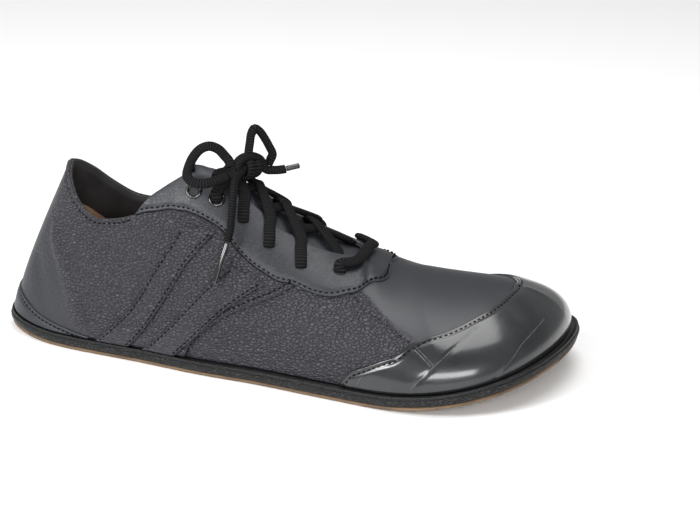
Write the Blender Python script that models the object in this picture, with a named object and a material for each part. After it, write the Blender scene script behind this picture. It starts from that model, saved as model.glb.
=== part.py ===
"""A man's low barefoot lace-up shoe for the right foot, standing empty on its sole.

The toe points to +X, the inner (big toe) side to +Y, and up is +Z. Lengths are in
millimetres and become metres where a mesh is made. Every curved piece comes from one
pair of functions: the outline of the sole, and the sections of the upper over it.
"""

import math

import bpy
import numpy as np

# Main sizes
MM = 0.001
LENGTH = 278.0
BALL_WIDTH = 117.0
HEEL_HEIGHT = 84.5
INSTEP_HEIGHT = 92.0

# Sole
OUTSOLE_THICKNESS = 1.5
MIDSOLE_THICKNESS = 4.4
TOE_SPRING = 14.2
HEEL_SPRING = 3.0
TOE_SPRING_START = 0.68
HEEL_SPRING_END = 0.12
TOE_SPRING_POWER = 1.8
HEEL_SPRING_POWER = 1.5
OUTSOLE_INSET = 0.9
OUTSOLE_EDGE_IN = 0.5
OUTSOLE_EDGE_UP = 0.4
FLANGE_HEEL = 3.8
FLANGE_TOE = 5.6
FLANGE_START = 0.3
FLANGE_RUN = 0.6
FLANGE_POWER = 1.2

# Sheets
CLEARANCE = 0.3
UPPER_WALL = 1.6
LAYER = 1.0
STRAP_LAYER = 0.8
TONGUE_THICKNESS = 2.0
INSOLE_THICKNESS = 2.0
INSOLE_MARGIN = 1.6
SEAM_GAP = 0.6
STRAP_SLACK = 0.4
LAYER_GAP = 0.5

# Lacing
LACE_WIDTH = 5.6
LACE_THICKNESS = 2.4
LACE_DIAMETER = 4.4
LACE_SLACK = 0.3
HOLE_OVERRUN = 0.1
KNOT_THICKENING = 1.4
TONGUE_TOP = [(0.4, 0.80), (0.75, 0.50)]
EYELET_OUTER = 8.0
EYELET_INNER = 4.6
EYELET_HEIGHT = 0.9
AGLET_DIAMETER = 3.0
AGLET_LENGTH = 19.0
SHORT_AGLET_LENGTH = 9.0

# Fineness of the meshes
OUTLINE_SAMPLES = 2400
SECTION_ROWS = 8
QUARTER_ROWS = 6
TOE_CAP_ROWS = 5
EYESTAY_ROWS = 3
STRAP_ROWS = 13
TUBE_SIDES = 6
FINE_STEPS = 12
EYELET_SIDES = 14
SHARP_ANGLE = 50
LOWEST_TRIM = 0.4
TRIM_STEPS = 61
NORMAL_STEP = 0.002
WELD = 0.01

OUTER_SIDE = -1
INNER_SIDE = 1
SIDES = (OUTER_SIDE, INNER_SIDE)
SIDE_NAMES = {OUTER_SIDE: "outer", INNER_SIDE: "inner"}

# Outline of the sole from the back of the heel along the outer side to the toe, and home
# along the inner side: share of the length, share of the ball width
SOLE_OUTLINE = [
    (0.000, 0.005), (0.022, -0.130), (0.085, -0.231), (0.170, -0.285), (0.280, -0.323),
    (0.400, -0.375), (0.500, -0.401), (0.600, -0.442), (0.690, -0.479), (0.780, -0.507),
    (0.870, -0.461), (0.940, -0.326), (0.985, -0.113), (1.000, 0.109), (0.985, 0.310),
    (0.930, 0.454), (0.840, 0.494), (0.740, 0.471), (0.640, 0.403), (0.530, 0.294),
    (0.420, 0.237), (0.300, 0.244), (0.180, 0.279), (0.085, 0.264), (0.022, 0.146),
]
TOE_ROW = 13

# Sections of the upper. Each runs from the edge of the sole to the topline or, from the
# instep on, to the ridge. Columns:
# along: share of the way along the edge of the sole, from heel to toe
# x, y, z: end of the section, as shares of the length, ball width and heel or instep height
# lean: outward slope of the wall at the sole, degrees
# low: how far the wall keeps that slope, as a share of the section's height
# rise: slope of the surface at the section's end, degrees
# high: how far it keeps that slope, as a share of the section's run
# gap: half width of the lacing gap along the surface, as a share of the ball width
OUTER_SECTIONS = [
    (0.000, 0.1205, 0.000, 1.000, -13, 0.36, 66, 0.33, 0.000),
    (0.050, 0.1237, -0.043, 0.976, -12, 0.36, 72, 0.33, 0.000),
    (0.100, 0.1367, -0.103, 0.900, -9, 0.34, 77, 0.33, 0.000),
    (0.150, 0.1637, -0.154, 0.802, -4, 0.35, 78, 0.33, 0.000),
    (0.200, 0.2032, -0.184, 0.745, 0, 0.36, 74, 0.33, 0.000),
    (0.260, 0.2590, -0.192, 0.768, 0, 0.38, 68, 0.33, 0.000),
    (0.295, 0.2860, -0.167, 0.850, 0, 0.40, 58, 0.33, 0.000),
    (0.355, 0.3417, -0.009, 1.000, 0, 0.46, 0, 0.48, 0.103),
    (0.400, 0.3885, -0.009, 0.967, 0, 0.47, 0, 0.48, 0.094),
    (0.450, 0.4388, -0.004, 0.891, 0, 0.48, 0, 0.47, 0.111),
    (0.510, 0.5000, 0.000, 0.772, 2, 0.50, 0, 0.44, 0.145),
    (0.570, 0.5612, 0.009, 0.674, 3, 0.50, 0, 0.45, 0.137),
    (0.620, 0.6115, 0.017, 0.609, 4, 0.50, 0, 0.46, 0.094),
    (0.660, 0.6475, 0.026, 0.571, 5, 0.50, 0, 0.48, 0.000),
    (0.730, 0.7122, 0.038, 0.507, 6, 0.52, 0, 0.50, 0.000),
    (0.800, 0.7770, 0.051, 0.483, 8, 0.54, 0, 0.50, 0.000),
    (0.870, 0.8345, 0.060, 0.472, 10, 0.56, 0, 0.50, 0.000),
    (0.930, 0.8760, 0.065, 0.461, 12, 0.56, 0, 0.50, 0.000),
    (1.000, 0.9030, 0.070, 0.448, 12, 0.56, 0, 0.50, 0.000),
]
INNER_SECTIONS = [
    (0.000, 0.1205, 0.000, 1.000, -13, 0.36, 66, 0.33, 0.000),
    (0.050, 0.1259, 0.043, 0.982, -12, 0.36, 72, 0.33, 0.000),
    (0.100, 0.1439, 0.094, 0.923, -9, 0.34, 77, 0.33, 0.000),
    (0.150, 0.1727, 0.128, 0.833, -4, 0.35, 78, 0.33, 0.000),
    (0.200, 0.2158, 0.150, 0.750, 0, 0.36, 74, 0.33, 0.000),
    (0.235, 0.2455, 0.154, 0.734, 0, 0.37, 72, 0.33, 0.000),
    (0.265, 0.2690, 0.152, 0.752, 0, 0.39, 68, 0.33, 0.000),
    (0.295, 0.2910, 0.138, 0.815, 0, 0.41, 58, 0.34, 0.000),
    (0.355, 0.3417, -0.009, 1.000, 0, 0.46, 0, 0.46, 0.103),
    (0.400, 0.3885, -0.009, 0.967, 0, 0.47, 0, 0.46, 0.094),
    (0.450, 0.4388, -0.004, 0.891, 0, 0.48, 0, 0.45, 0.103),
    (0.510, 0.5000, 0.000, 0.772, 0, 0.50, 0, 0.44, 0.111),
    (0.570, 0.5612, 0.009, 0.674, 0, 0.50, 0, 0.45, 0.103),
    (0.620, 0.6115, 0.017, 0.609, 2, 0.50, 0, 0.46, 0.077),
    (0.660, 0.6475, 0.026, 0.571, 4, 0.50, 0, 0.47, 0.000),
    (0.730, 0.7122, 0.038, 0.507, 6, 0.50, 0, 0.47, 0.000),
    (0.800, 0.7770, 0.051, 0.483, 8, 0.52, 0, 0.47, 0.000),
    (0.870, 0.8345, 0.060, 0.472, 10, 0.54, 0, 0.47, 0.000),
    (0.930, 0.8760, 0.065, 0.461, 12, 0.56, 0, 0.48, 0.000),
    (1.000, 0.9030, 0.070, 0.448, 12, 0.56, 0, 0.50, 0.000),
]
SECTIONS = {OUTER_SIDE: np.array(OUTER_SECTIONS), INNER_SIDE: np.array(INNER_SECTIONS)}
DOME_START = 0.355
RIDGE_BLEND = 0.05
STEEPEST_RIDGE = -0.6

# Lines on the upper: share of the way along, share of the way up from sole to top
QUARTER_FRONT = [
    (0.354, 0.000), (0.359, 0.054), (0.376, 0.124), (0.405, 0.207), (0.450, 0.328),
    (0.486, 0.447), (0.523, 0.607),
]
EYESTAY_LOW = [
    (0.262, 1.000), (0.274, 0.965), (0.314, 0.826), (0.349, 0.733), (0.379, 0.701),
    (0.412, 0.664), (0.435, 0.600), (0.462, 0.567), (0.491, 0.572), (0.523, 0.607),
    (0.549, 0.600), (0.573, 0.612), (0.613, 0.678), (0.636, 0.706), (0.663, 0.745),
    (0.684, 0.810), (0.705, 0.990),
]
TOE_CAP_LINE = [
    (0.585, 0.000), (0.603, 0.120), (0.624, 0.170), (0.666, 0.245), (0.695, 0.347),
    (0.718, 0.402), (0.753, 0.454), (0.807, 0.552), (0.838, 0.607), (0.869, 0.677),
    (0.903, 0.775), (0.940, 0.885), (0.975, 1.000),
]
HEEL_BAND_LINE = [(0.000, 0.150), (0.066, 0.122), (0.111, 0.081), (0.144, 0.059), (0.200, 0.015)]

# Plain slanted side straps, rear one first: middle line from the sole up
STRAP_LINES = {
    "rear": [(0.238, 0.000), (0.290, 0.250), (0.335, 0.470), (0.376, 0.640)],
    "front": [(0.312, 0.000), (0.350, 0.130), (0.402, 0.310), (0.452, 0.500)],
}
STRAP_HALF_WIDTH = 0.026

# Columns of the pieces that follow the whole side, closer where the shape turns
SIDE_COLUMNS = [
    0.0, 0.03, 0.06, 0.095, 0.13, 0.165, 0.20, 0.235, 0.265, 0.29, 0.31, 0.33, 0.355, 0.385,
    0.42, 0.46, 0.50, 0.54, 0.58, 0.615, 0.64, 0.66, 0.70, 0.74, 0.78, 0.81, 0.838, 0.86, 0.88,
    0.903, 0.922, 0.94, 0.958, 0.975, 1.0,
]

# Columns along the seam between the quarters and the eyestay
SEAM_COLUMNS = [
    0.274, 0.284, 0.294, 0.314, 0.334, 0.354, 0.365, 0.376, 0.40, 0.412, 0.425, 0.435, 0.45, 0.47,
    0.49, 0.507, 0.523,
]

# Columns of the other panels
QUARTER_REAR_COLUMNS = [0.0, 0.03, 0.06, 0.095, 0.13, 0.165, 0.20, 0.235, 0.262]
EYESTAY_FRONT_COLUMNS = [0.549, 0.58, 0.60, 0.615, 0.628, 0.64, 0.652, 0.66, 0.672, 0.684, 0.695, 0.703]
TOE_CAP_COLUMNS = [
    0.587, 0.603, 0.624, 0.645, 0.666, 0.695, 0.718, 0.753, 0.785, 0.81, 0.838, 0.86, 0.88, 0.903,
    0.922, 0.94, 0.958, 0.975, 1.0,
]
HEEL_BAND_COLUMNS = [0.0, 0.03, 0.06, 0.09, 0.12, 0.15, 0.175, 0.2]
TONGUE_COLUMNS = [0.70, 0.68, 0.66, 0.63, 0.59, 0.55, 0.51, 0.47, 0.43, 0.395, 0.36]
TONGUE_SHARES = [0.72, 0.79, 0.86, 0.93, 1.0]

# Profile of the black edge layer, from its bottom edge up and in over the lip and the
# groove to the flat seat of the upper: inset from the outline, share of the layer's height
EDGE_PROFILE = [
    (1.3, 0.00), (0.3, 0.14), (0.0, 0.36), (0.1, 0.62), (0.7, 0.76), (0.5, 0.92), (1.2, 1.06),
    (2.2, 0.90), (3.1, 0.90), (3.5, 1.00),
]

# Lace holes of one side from the top down: share along, share up
OUTER_HOLES = [(0.364, 0.854), (0.400, 0.840), (0.442, 0.811), (0.483, 0.780), (0.534, 0.767), (0.598, 0.829)]
INNER_HOLES = [(0.364, 0.854), (0.400, 0.845), (0.442, 0.830), (0.483, 0.815), (0.534, 0.810), (0.605, 0.840)]
METAL_EYELETS = 2

# Profile of an eyelet: share of the way in across the ring, share of its height
EYELET_PROFILE = [(0.0, 0.0), (0.18, 0.6), (0.5, 1.0), (0.94, 0.6), (1.0, 0.0)]

# The bow, as points chosen one by one, in millimetres from the back of the heel, the
# middle line and the floor
KNOT_ROUTE = [
    (120.6, -10.6, 89.6), (122.2, -7.2, 91.2), (124.2, -3.6, 92.0), (126.0, -0.4, 91.4),
    (127.2, 2.4, 90.0),
]
LOW_LOOP_ROUTE = [
    (117.8, -12.2, 92.6), (116.6, -11.4, 95.0), (114.4, -10.8, 97.0), (111.4, -11.5, 100.2),
    (107.4, -12.8, 101.6), (103.7, -14.7, 100.2), (101.0, -17.0, 96.6), (99.7, -19.4, 92.4),
    (100.0, -22.2, 89.4), (102.8, -24.6, 87.8), (106.8, -25.4, 87.2), (110.8, -24.0, 87.4),
    (114.6, -20.8, 88.2), (117.6, -16.8, 89.0),
]
HIGH_LOOP_ROUTE = [
    (123.2, -3.0, 96.2), (123.2, -2.2, 98.6), (123.3, -1.0, 101.6), (123.4, 0.4, 105.0),
    (124.6, 1.8, 107.6), (126.8, 3.0, 106.2), (129.0, 4.2, 102.4), (130.8, 5.0, 98.6),
    (132.2, 5.4, 95.2), (131.4, 4.6, 92.4),
]
LONG_END_ROUTE = [
    (120.8, -15.2, 87.2), (121.6, -18.2, 85.6), (122.4, -21.4, 82.8), (123.0, -24.2, 79.2),
    (123.4, -26.8, 75.2), (123.8, -29.2, 71.2), (123.9, -31.2, 67.2), (123.6, -33.4, 63.8),
]
LONG_AGLET_ROUTE = [(123.5, -33.6, 63.0), (121.6, -37.4, 54.6), (119.6, -40.4, 45.2)]
SHORT_END_ROUTE = [(130.2, 1.1, 88.8), (133.4, 3.2, 88.0), (135.8, 5.0, 87.8), (138.0, 6.6, 88.0)]
SHORT_AGLET_ROUTE = [(138.5, 7.0, 88.1), (143.6, 10.6, 89.0)]


def monotone(rows, at):
    """Smooth curve through the rows that never overshoots them: first column in, the rest out."""
    rows = np.asarray(rows, float)
    x, y = rows[:, 0], rows[:, 1:]
    step = np.diff(x)[:, None]
    slope = np.diff(y, axis=0) / step
    weight_a = 2 * step[1:] + step[:-1]
    weight_b = step[1:] + 2 * step[:-1]
    agree = slope[:-1] * slope[1:] > 0
    before = np.where(agree, slope[:-1], 1.0)
    after = np.where(agree, slope[1:], 1.0)
    tangent = np.zeros_like(y)
    tangent[0], tangent[-1] = slope[0], slope[-1]
    tangent[1:-1] = np.where(agree, (weight_a + weight_b) / (weight_a / before + weight_b / after), 0)
    at = np.clip(np.asarray(at, float), x[0], x[-1])
    i = np.clip(np.searchsorted(x, at, side="right") - 1, 0, len(x) - 2)
    t = ((at - x[i]) / step[i, 0])[:, None]
    return (
        (2 * t**3 - 3 * t**2 + 1) * y[i]
        + (t**3 - 2 * t**2 + t) * step[i] * tangent[i]
        + (3 * t**2 - 2 * t**3) * y[i + 1]
        + (t**3 - t**2) * step[i] * tangent[i + 1]
    )


def line_at(rows, at):
    """Height of a line on the upper at one place along it."""
    return float(monotone(rows, [at])[0, 0])


def closed_spline(points, samples):
    """Dense points of a smooth closed curve through the given ones, and where each one falls."""
    points = np.asarray(points, float)
    count = len(points)
    step = np.linalg.norm(np.roll(points, -1, 0) - points, axis=1) ** 0.5
    knots = np.r_[0, np.cumsum(step)]
    matrix = np.zeros((count, count))
    right = np.zeros_like(points)
    for i in range(count):
        matrix[i, i - 1] += step[i - 1]
        matrix[i, i] += 2 * (step[i - 1] + step[i])
        matrix[i, (i + 1) % count] += step[i]
        ahead = (points[(i + 1) % count] - points[i]) / step[i]
        behind = (points[i] - points[i - 1]) / step[i - 1]
        right[i] = 6 * (ahead - behind)
    bend = np.linalg.solve(matrix, right)
    at = np.linspace(0, knots[-1], samples + 1)
    i = np.clip(np.searchsorted(knots, at, side="right") - 1, 0, count - 1)
    j = (i + 1) % count
    width = step[i][:, None]
    a = (knots[i + 1] - at)[:, None] / width
    b = (at - knots[i])[:, None] / width
    curve = a * points[i] + b * points[j]
    curve += ((a**3 - a) * bend[i] + (b**3 - b) * bend[j]) * width**2 / 6
    return curve, knots, at


def side_outlines():
    """Each side's outline from heel to toe, with the share of its way that each point has gone."""
    corners = [(x * LENGTH, y * BALL_WIDTH) for x, y in SOLE_OUTLINE]
    curve, knots, at = closed_spline(corners, OUTLINE_SAMPLES)
    toe = int(np.argmin(np.abs(at - knots[TOE_ROW])))
    found = {}
    for side, part in ((OUTER_SIDE, curve[: toe + 1]), (INNER_SIDE, curve[toe:][::-1])):
        way = np.r_[0, np.cumsum(np.linalg.norm(np.diff(part, axis=0), axis=1))]
        found[side] = (way / way[-1], part)
    return found


OUTLINES = side_outlines()
MIDDLE_X = (OUTLINES[OUTER_SIDE][1][:, 0].min() + OUTLINES[OUTER_SIDE][1][:, 0].max()) / 2
MIDDLE_Y = (OUTLINES[OUTER_SIDE][1][:, 1].min() + OUTLINES[INNER_SIDE][1][:, 1].max()) / 2


def outline(side, along):
    """Point of the sole's outline in plan."""
    way, curve = OUTLINES[side]
    return np.stack([np.interp(along, way, curve[:, 0]), np.interp(along, way, curve[:, 1])], -1)


def outline_round(side, along):
    """The outline in plan, which goes on along the other side past the heel or the toe."""
    along = np.asarray(along, float)
    own = outline(side, np.clip(along, 0, 1))
    other = outline(-side, np.where(along < 0, -along, 2 - along))
    return np.where(((along < 0) | (along > 1))[..., None], other, own)


def outward(side, along):
    """Direction in plan that points straight out of the outline."""
    along = np.asarray(along, float)
    run = (outline_round(side, along + NORMAL_STEP) - outline_round(side, along - NORMAL_STEP)) * -side
    run /= np.linalg.norm(run, axis=-1, keepdims=True)
    return np.stack([run[..., 1], -run[..., 0]], -1)


def inset(side, along, distance):
    """The outline moved inwards."""
    return outline(side, along) - outward(side, along) * np.asarray(distance, float)[..., None]


def spring(x):
    """How far the sole lifts off the floor at the toe and, a little, at the heel."""
    share = np.asarray(x, float) / LENGTH
    toe = np.clip((share - TOE_SPRING_START) / (1 - TOE_SPRING_START), 0, 1)
    heel = np.clip((HEEL_SPRING_END - share) / HEEL_SPRING_END, 0, 1)
    return TOE_SPRING * toe**TOE_SPRING_POWER + HEEL_SPRING * heel**HEEL_SPRING_POWER


def flange(along):
    """How far the black edge stands out from the upper."""
    share = np.clip((np.asarray(along, float) - FLANGE_START) / FLANGE_RUN, 0, 1)
    return FLANGE_HEEL + (FLANGE_TOE - FLANGE_HEEL) * share**FLANGE_POWER


def seat_height(x):
    """Height at which the upper stands on the sole."""
    return spring(x) + OUTSOLE_THICKNESS + CLEARANCE + MIDSOLE_THICKNESS + CLEARANCE


def section_ends(side, along):
    """End points of the sections, in millimetres, and their other columns."""
    rows = monotone(SECTIONS[side], along)
    blend = np.clip(np.asarray(along, float) / DOME_START, 0, 1)
    height = HEEL_HEIGHT + (INSTEP_HEIGHT - HEEL_HEIGHT) * blend**3
    ends = np.stack([rows[:, 0] * LENGTH, rows[:, 1] * BALL_WIDTH, rows[:, 2] * height], -1)
    return ends, rows[:, 3:]


def surface(side, along, up):
    """Points of the last's surface: up is 0 at the sole and 1 at a section's end."""
    along = np.atleast_1d(np.asarray(along, float))
    up = np.broadcast_to(np.asarray(up, float), along.shape)[:, None]
    end, shape = section_ends(side, along)
    lean, low, rise, high = np.radians(shape[:, 0]), shape[:, 1], np.radians(shape[:, 2]), shape[:, 3]
    base = inset(side, along, flange(along))
    start = np.c_[base, seat_height(base[:, 0])]
    out = outward(side, along)
    run = end[:, :2] - base
    reach = np.linalg.norm(run, axis=1)
    run /= reach[:, None]
    height = end[:, 2] - start[:, 2]
    before, _ = section_ends(side, np.clip(along - NORMAL_STEP, 0, 1))
    after, _ = section_ends(side, np.clip(along + NORMAL_STEP, 0, 1))
    ridge = (after[:, 2] - before[:, 2]) / np.maximum(after[:, 0] - before[:, 0], 1e-6)
    ridge = np.clip(ridge, STEEPEST_RIDGE, 0) * np.clip((along - DOME_START) / RIDGE_BLEND, 0, 1)
    wall = np.c_[out * np.sin(lean)[:, None], np.cos(lean)]
    top = np.c_[run * np.cos(rise)[:, None], np.sin(rise) + np.cos(rise) * ridge * run[:, 0]]
    top /= np.linalg.norm(top, axis=1, keepdims=True)
    near = start + wall * (height * low)[:, None]
    far = end - top * (np.hypot(reach, height * np.sin(rise)) * high)[:, None]
    left = 1 - up
    return start * left**3 + 3 * near * up * left**2 + 3 * far * up**2 * left + end * up**3


def normals(side, along, up):
    """Directions straight out of the surface."""
    along = np.atleast_1d(np.asarray(along, float))
    up = np.minimum(np.broadcast_to(np.asarray(up, float), along.shape), 1 - 4 * NORMAL_STEP)
    ahead = surface(side, np.clip(along + NORMAL_STEP, 0, 1), up)
    behind = surface(side, np.clip(along - NORMAL_STEP, 0, 1), up)
    above = surface(side, along, up + NORMAL_STEP)
    below = surface(side, along, np.maximum(up - NORMAL_STEP, 0))
    out = np.cross(ahead - behind, above - below) * -side
    return out / np.linalg.norm(out, axis=1, keepdims=True)


def trim(side, along):
    """Share of each section that the upper keeps: all of it, or as far as the lacing gap."""
    along = np.atleast_1d(np.asarray(along, float))
    gap = monotone(SECTIONS[side], along)[:, 7] * BALL_WIDTH
    shares = np.linspace(LOWEST_TRIM, 1, TRIM_STEPS)
    points = np.stack([surface(side, along, share) for share in shares], 1)
    step = np.linalg.norm(np.diff(points, axis=1), axis=2)
    rest = np.c_[step[:, ::-1].cumsum(1)[:, ::-1], np.zeros(len(along))]
    return np.array([np.interp(-width, -way, shares) for width, way in zip(gap, rest)])


def on_upper(side, along, up, off=0.0):
    """Points on or off the trimmed upper: up is 1 at its topline or lacing edge."""
    along = np.atleast_1d(np.asarray(along, float))
    kept = np.broadcast_to(np.asarray(up, float), along.shape) * trim(side, along)
    return surface(side, along, kept) + normals(side, along, kept) * off


class Skin:
    """A sheet that follows the upper, built from grids of both sides and given a thickness."""

    def __init__(self):
        self.points = []
        self.directions = []
        self.faces = []

    def add_grid(self, points, directions, flip):
        """Adds a grid of points, first axis along and second axis up."""
        first = len(self.points)
        columns, rows = points.shape[:2]
        self.points += list(points.reshape(-1, 3))
        self.directions += list(directions.reshape(-1, 3))
        for i in range(columns - 1):
            for j in range(rows - 1):
                corner = first + i * rows + j
                face = [corner, corner + rows, corner + rows + 1, corner + 1]
                self.faces.append(face[::-1] if flip else face)

    def add_panel(self, side, columns, low, high, rows):
        """Adds one side's panel between two lines."""
        columns = np.asarray(columns, float)
        shares = np.linspace(0, 1, rows + 1)
        kept = trim(side, columns)
        points = []
        directions = []
        for share in shares:
            up = (np.asarray(low) + (np.asarray(high) - np.asarray(low)) * share) * kept
            points.append(surface(side, columns, up))
            directions.append(normals(side, columns, up))
        self.add_grid(np.stack(points, 1), np.stack(directions, 1), side == INNER_SIDE)

    def welded(self):
        """Points, directions and faces with the doubled points joined."""
        places = {}
        index = []
        for point in self.points:
            key = tuple(np.round(point / WELD).astype(int))
            index.append(places.setdefault(key, len(places)))
        points = np.zeros((len(places), 3))
        directions = np.zeros((len(places), 3))
        for place, point, direction in zip(index, self.points, self.directions):
            points[place] = point
            directions[place] += direction
        directions /= np.linalg.norm(directions, axis=1, keepdims=True)
        faces = []
        for face in self.faces:
            ring = [index[k] for k in face]
            ring = [k for i, k in enumerate(ring) if k != ring[i - 1]]
            if len(ring) > 2:
                faces.append(ring)
        return points, directions, faces

    def solid(self, name, outer, inner):
        """A closed mesh between two distances from the surface."""
        points, directions, faces = self.welded()
        count = len(points)
        vertices = np.r_[points + directions * outer, points + directions * inner]
        vertices[:, 2] = np.maximum(vertices[:, 2], seat_height(vertices[:, 0]))
        shell = faces + [[k + count for k in face[::-1]] for face in faces]
        edges = {(a, b) for face in faces for a, b in zip(face, face[1:] + face[:1])}
        shell += [[b, a, a + count, b + count] for a, b in edges if (b, a) not in edges]
        return mesh_object(name, vertices, shell)


def mesh_object(name, points, faces):
    """An object from points in millimetres round the shoe's middle."""
    centred = (np.asarray(points, float) - [MIDDLE_X, MIDDLE_Y, 0]) * MM
    mesh = bpy.data.meshes.new(name)
    mesh.from_pydata(centred.tolist(), [], [list(face) for face in faces])
    mesh.validate()
    for polygon in mesh.polygons:
        polygon.use_smooth = True
    mesh.set_sharp_from_angle(angle=math.radians(SHARP_ANGLE))
    item = bpy.data.objects.new(name, mesh)
    bpy.context.scene.collection.objects.link(item)
    return item


def material(name, colour, roughness, metallic=0.0):
    """A plain finish."""
    finish = bpy.data.materials.new(name)
    finish.use_nodes = True
    shader = finish.node_tree.nodes["Principled BSDF"]
    shader.inputs["Base Color"].default_value = (*colour, 1)
    shader.inputs["Roughness"].default_value = roughness
    shader.inputs["Metallic"].default_value = metallic
    return finish


def dress(item, finish):
    """Gives an object its one finish."""
    item.data.materials.append(finish)
    return item


def build_layer(name, profile, base, inner_inset):
    """A sole layer: a profile run round the outline, closed flat above and below."""
    rings = []
    for side, columns in ((OUTER_SIDE, SIDE_COLUMNS), (INNER_SIDE, SIDE_COLUMNS[-2:0:-1])):
        for along in columns:
            ring = []
            for distance, height in profile:
                x, y = inset(side, along, distance)
                ring.append((x, y, spring(x) + base + height))
            x, y = inset(side, along, inner_inset)
            ring.append((x, y, spring(x) + base + profile[-1][1]))
            rings.append(ring)
    count = len(rings)
    rows = len(rings[0])
    points = [point for ring in rings for point in ring]
    faces = []
    for i in range(count):
        j = (i + 1) % count
        for k in range(rows - 1):
            faces.append([i * rows + k, j * rows + k, j * rows + k + 1, i * rows + k + 1])
    last = len(SIDE_COLUMNS) - 1
    pairs = [(i, (count - i) % count) for i in range(last + 1)]
    for (a, b), (c, d) in zip(pairs, pairs[1:]):
        bottom = [k * rows for k in (a, b, d, c)]
        top = [k * rows + rows - 1 for k in (c, d, b, a)]
        faces.append([k for i, k in enumerate(bottom) if k != bottom[i - 1]])
        faces.append([k for i, k in enumerate(top) if k != top[i - 1]])
    return mesh_object(name, points, faces)


def build_outsole():
    """The thin tan outsole under the black edge layer."""
    profile = [
        (OUTSOLE_INSET + OUTSOLE_EDGE_IN, 0.0),
        (OUTSOLE_INSET, OUTSOLE_EDGE_UP),
        (OUTSOLE_INSET, OUTSOLE_THICKNESS),
    ]
    return build_layer("outsole", profile, 0.0, OUTSOLE_INSET + 2 * FLANGE_TOE)


def build_midsole():
    """The black edge layer with its rounded side, raised lip and groove."""
    profile = [(distance, height * MIDSOLE_THICKNESS) for distance, height in EDGE_PROFILE]
    return build_layer("midsole", profile, OUTSOLE_THICKNESS + CLEARANCE, 2 * FLANGE_TOE)


def build_insole():
    """The tan insole inside the upper."""
    base = OUTSOLE_THICKNESS + CLEARANCE + MIDSOLE_THICKNESS + CLEARANCE
    rings = []
    for side, columns in ((OUTER_SIDE, SIDE_COLUMNS), (INNER_SIDE, SIDE_COLUMNS[-2:0:-1])):
        for along in columns:
            place = inset(side, along, flange(along) + UPPER_WALL + INSOLE_MARGIN)
            rings.append((place[0], place[1], spring(place[0]) + base))
    count = len(rings)
    points = rings + [(x, y, z + INSOLE_THICKNESS) for x, y, z in rings]
    faces = [[i, (i + 1) % count, (i + 1) % count + count, i + count] for i in range(count)]
    last = len(SIDE_COLUMNS) - 1
    pairs = [(i, (count - i) % count) for i in range(last + 1)]
    for (a, b), (c, d) in zip(pairs, pairs[1:]):
        bottom = [a, b, d, c]
        top = [k + count for k in (c, d, b, a)]
        faces.append([k for i, k in enumerate(bottom) if k != bottom[i - 1]])
        faces.append([k for i, k in enumerate(top) if k != top[i - 1]])
    return mesh_object("insole", points, faces)


def build_upper():
    """The body of the upper: one hollow wall, open at the collar, the lacing gap and below."""
    skin = Skin()
    for side in SIDES:
        skin.add_panel(side, SIDE_COLUMNS, 0.0, 1.0, SECTION_ROWS)
    return skin.solid("upper", 0.0, -UPPER_WALL)


def seam_share(side, along):
    """Half of the seam gap as a share of the section's length."""
    bottom = on_upper(side, along, 0.0)
    top = on_upper(side, along, 1.0)
    return SEAM_GAP / 2 / np.linalg.norm(top - bottom, axis=1)


def build_quarter(side):
    """One side of the back of the shoe, over the body, down to the sole."""
    front = [a for a in SEAM_COLUMNS if a < QUARTER_FRONT[-1][0]]
    columns = np.array(QUARTER_REAR_COLUMNS + front)
    columns[0] = SEAM_GAP / 2 / side_length(side)
    low = np.array([line_at(QUARTER_FRONT, a) for a in columns])
    high = np.array([line_at(EYESTAY_LOW, a) for a in columns])
    high = np.where(columns > QUARTER_REAR_COLUMNS[-1], high - seam_share(side, columns), 1.0)
    skin = Skin()
    skin.add_panel(side, columns, low, high, QUARTER_ROWS)
    return skin.solid("quarter_" + SIDE_NAMES[side], LAYER_GAP + LAYER, LAYER_GAP)


def side_length(side):
    """Length of one side's outline."""
    _, curve = OUTLINES[side]
    return float(np.linalg.norm(np.diff(curve, axis=0), axis=1).sum())


def build_eyestay():
    """The eyelet facing round the lacing gap, in one piece."""
    columns = np.array(SEAM_COLUMNS + EYESTAY_FRONT_COLUMNS)
    skin = Skin()
    for side in SIDES:
        low = np.array([line_at(EYESTAY_LOW, a) for a in columns]) + seam_share(side, columns)
        skin.add_panel(side, columns, low, np.ones(len(columns)), EYESTAY_ROWS)
    return skin.solid("eyestay", LAYER_GAP + LAYER, LAYER_GAP)


def build_toe_cap():
    """The smooth toe cap over the front of the body."""
    skin = Skin()
    high = np.array([line_at(TOE_CAP_LINE, a) for a in TOE_CAP_COLUMNS])
    for side in SIDES:
        skin.add_panel(side, TOE_CAP_COLUMNS, np.zeros(len(high)), high, TOE_CAP_ROWS)
    return skin.solid("toe_cap", LAYER_GAP + LAYER, LAYER_GAP)


def build_heel_band():
    """The low band round the back of the heel, over the quarters."""
    high = np.array([line_at(HEEL_BAND_LINE, a) for a in HEEL_BAND_COLUMNS])
    skin = Skin()
    for side in SIDES:
        skin.add_panel(side, HEEL_BAND_COLUMNS, np.zeros(len(high)), high, 1)
    inner = 2 * LAYER_GAP + LAYER
    return skin.solid("heel_band", inner + STRAP_LAYER, inner)


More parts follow.
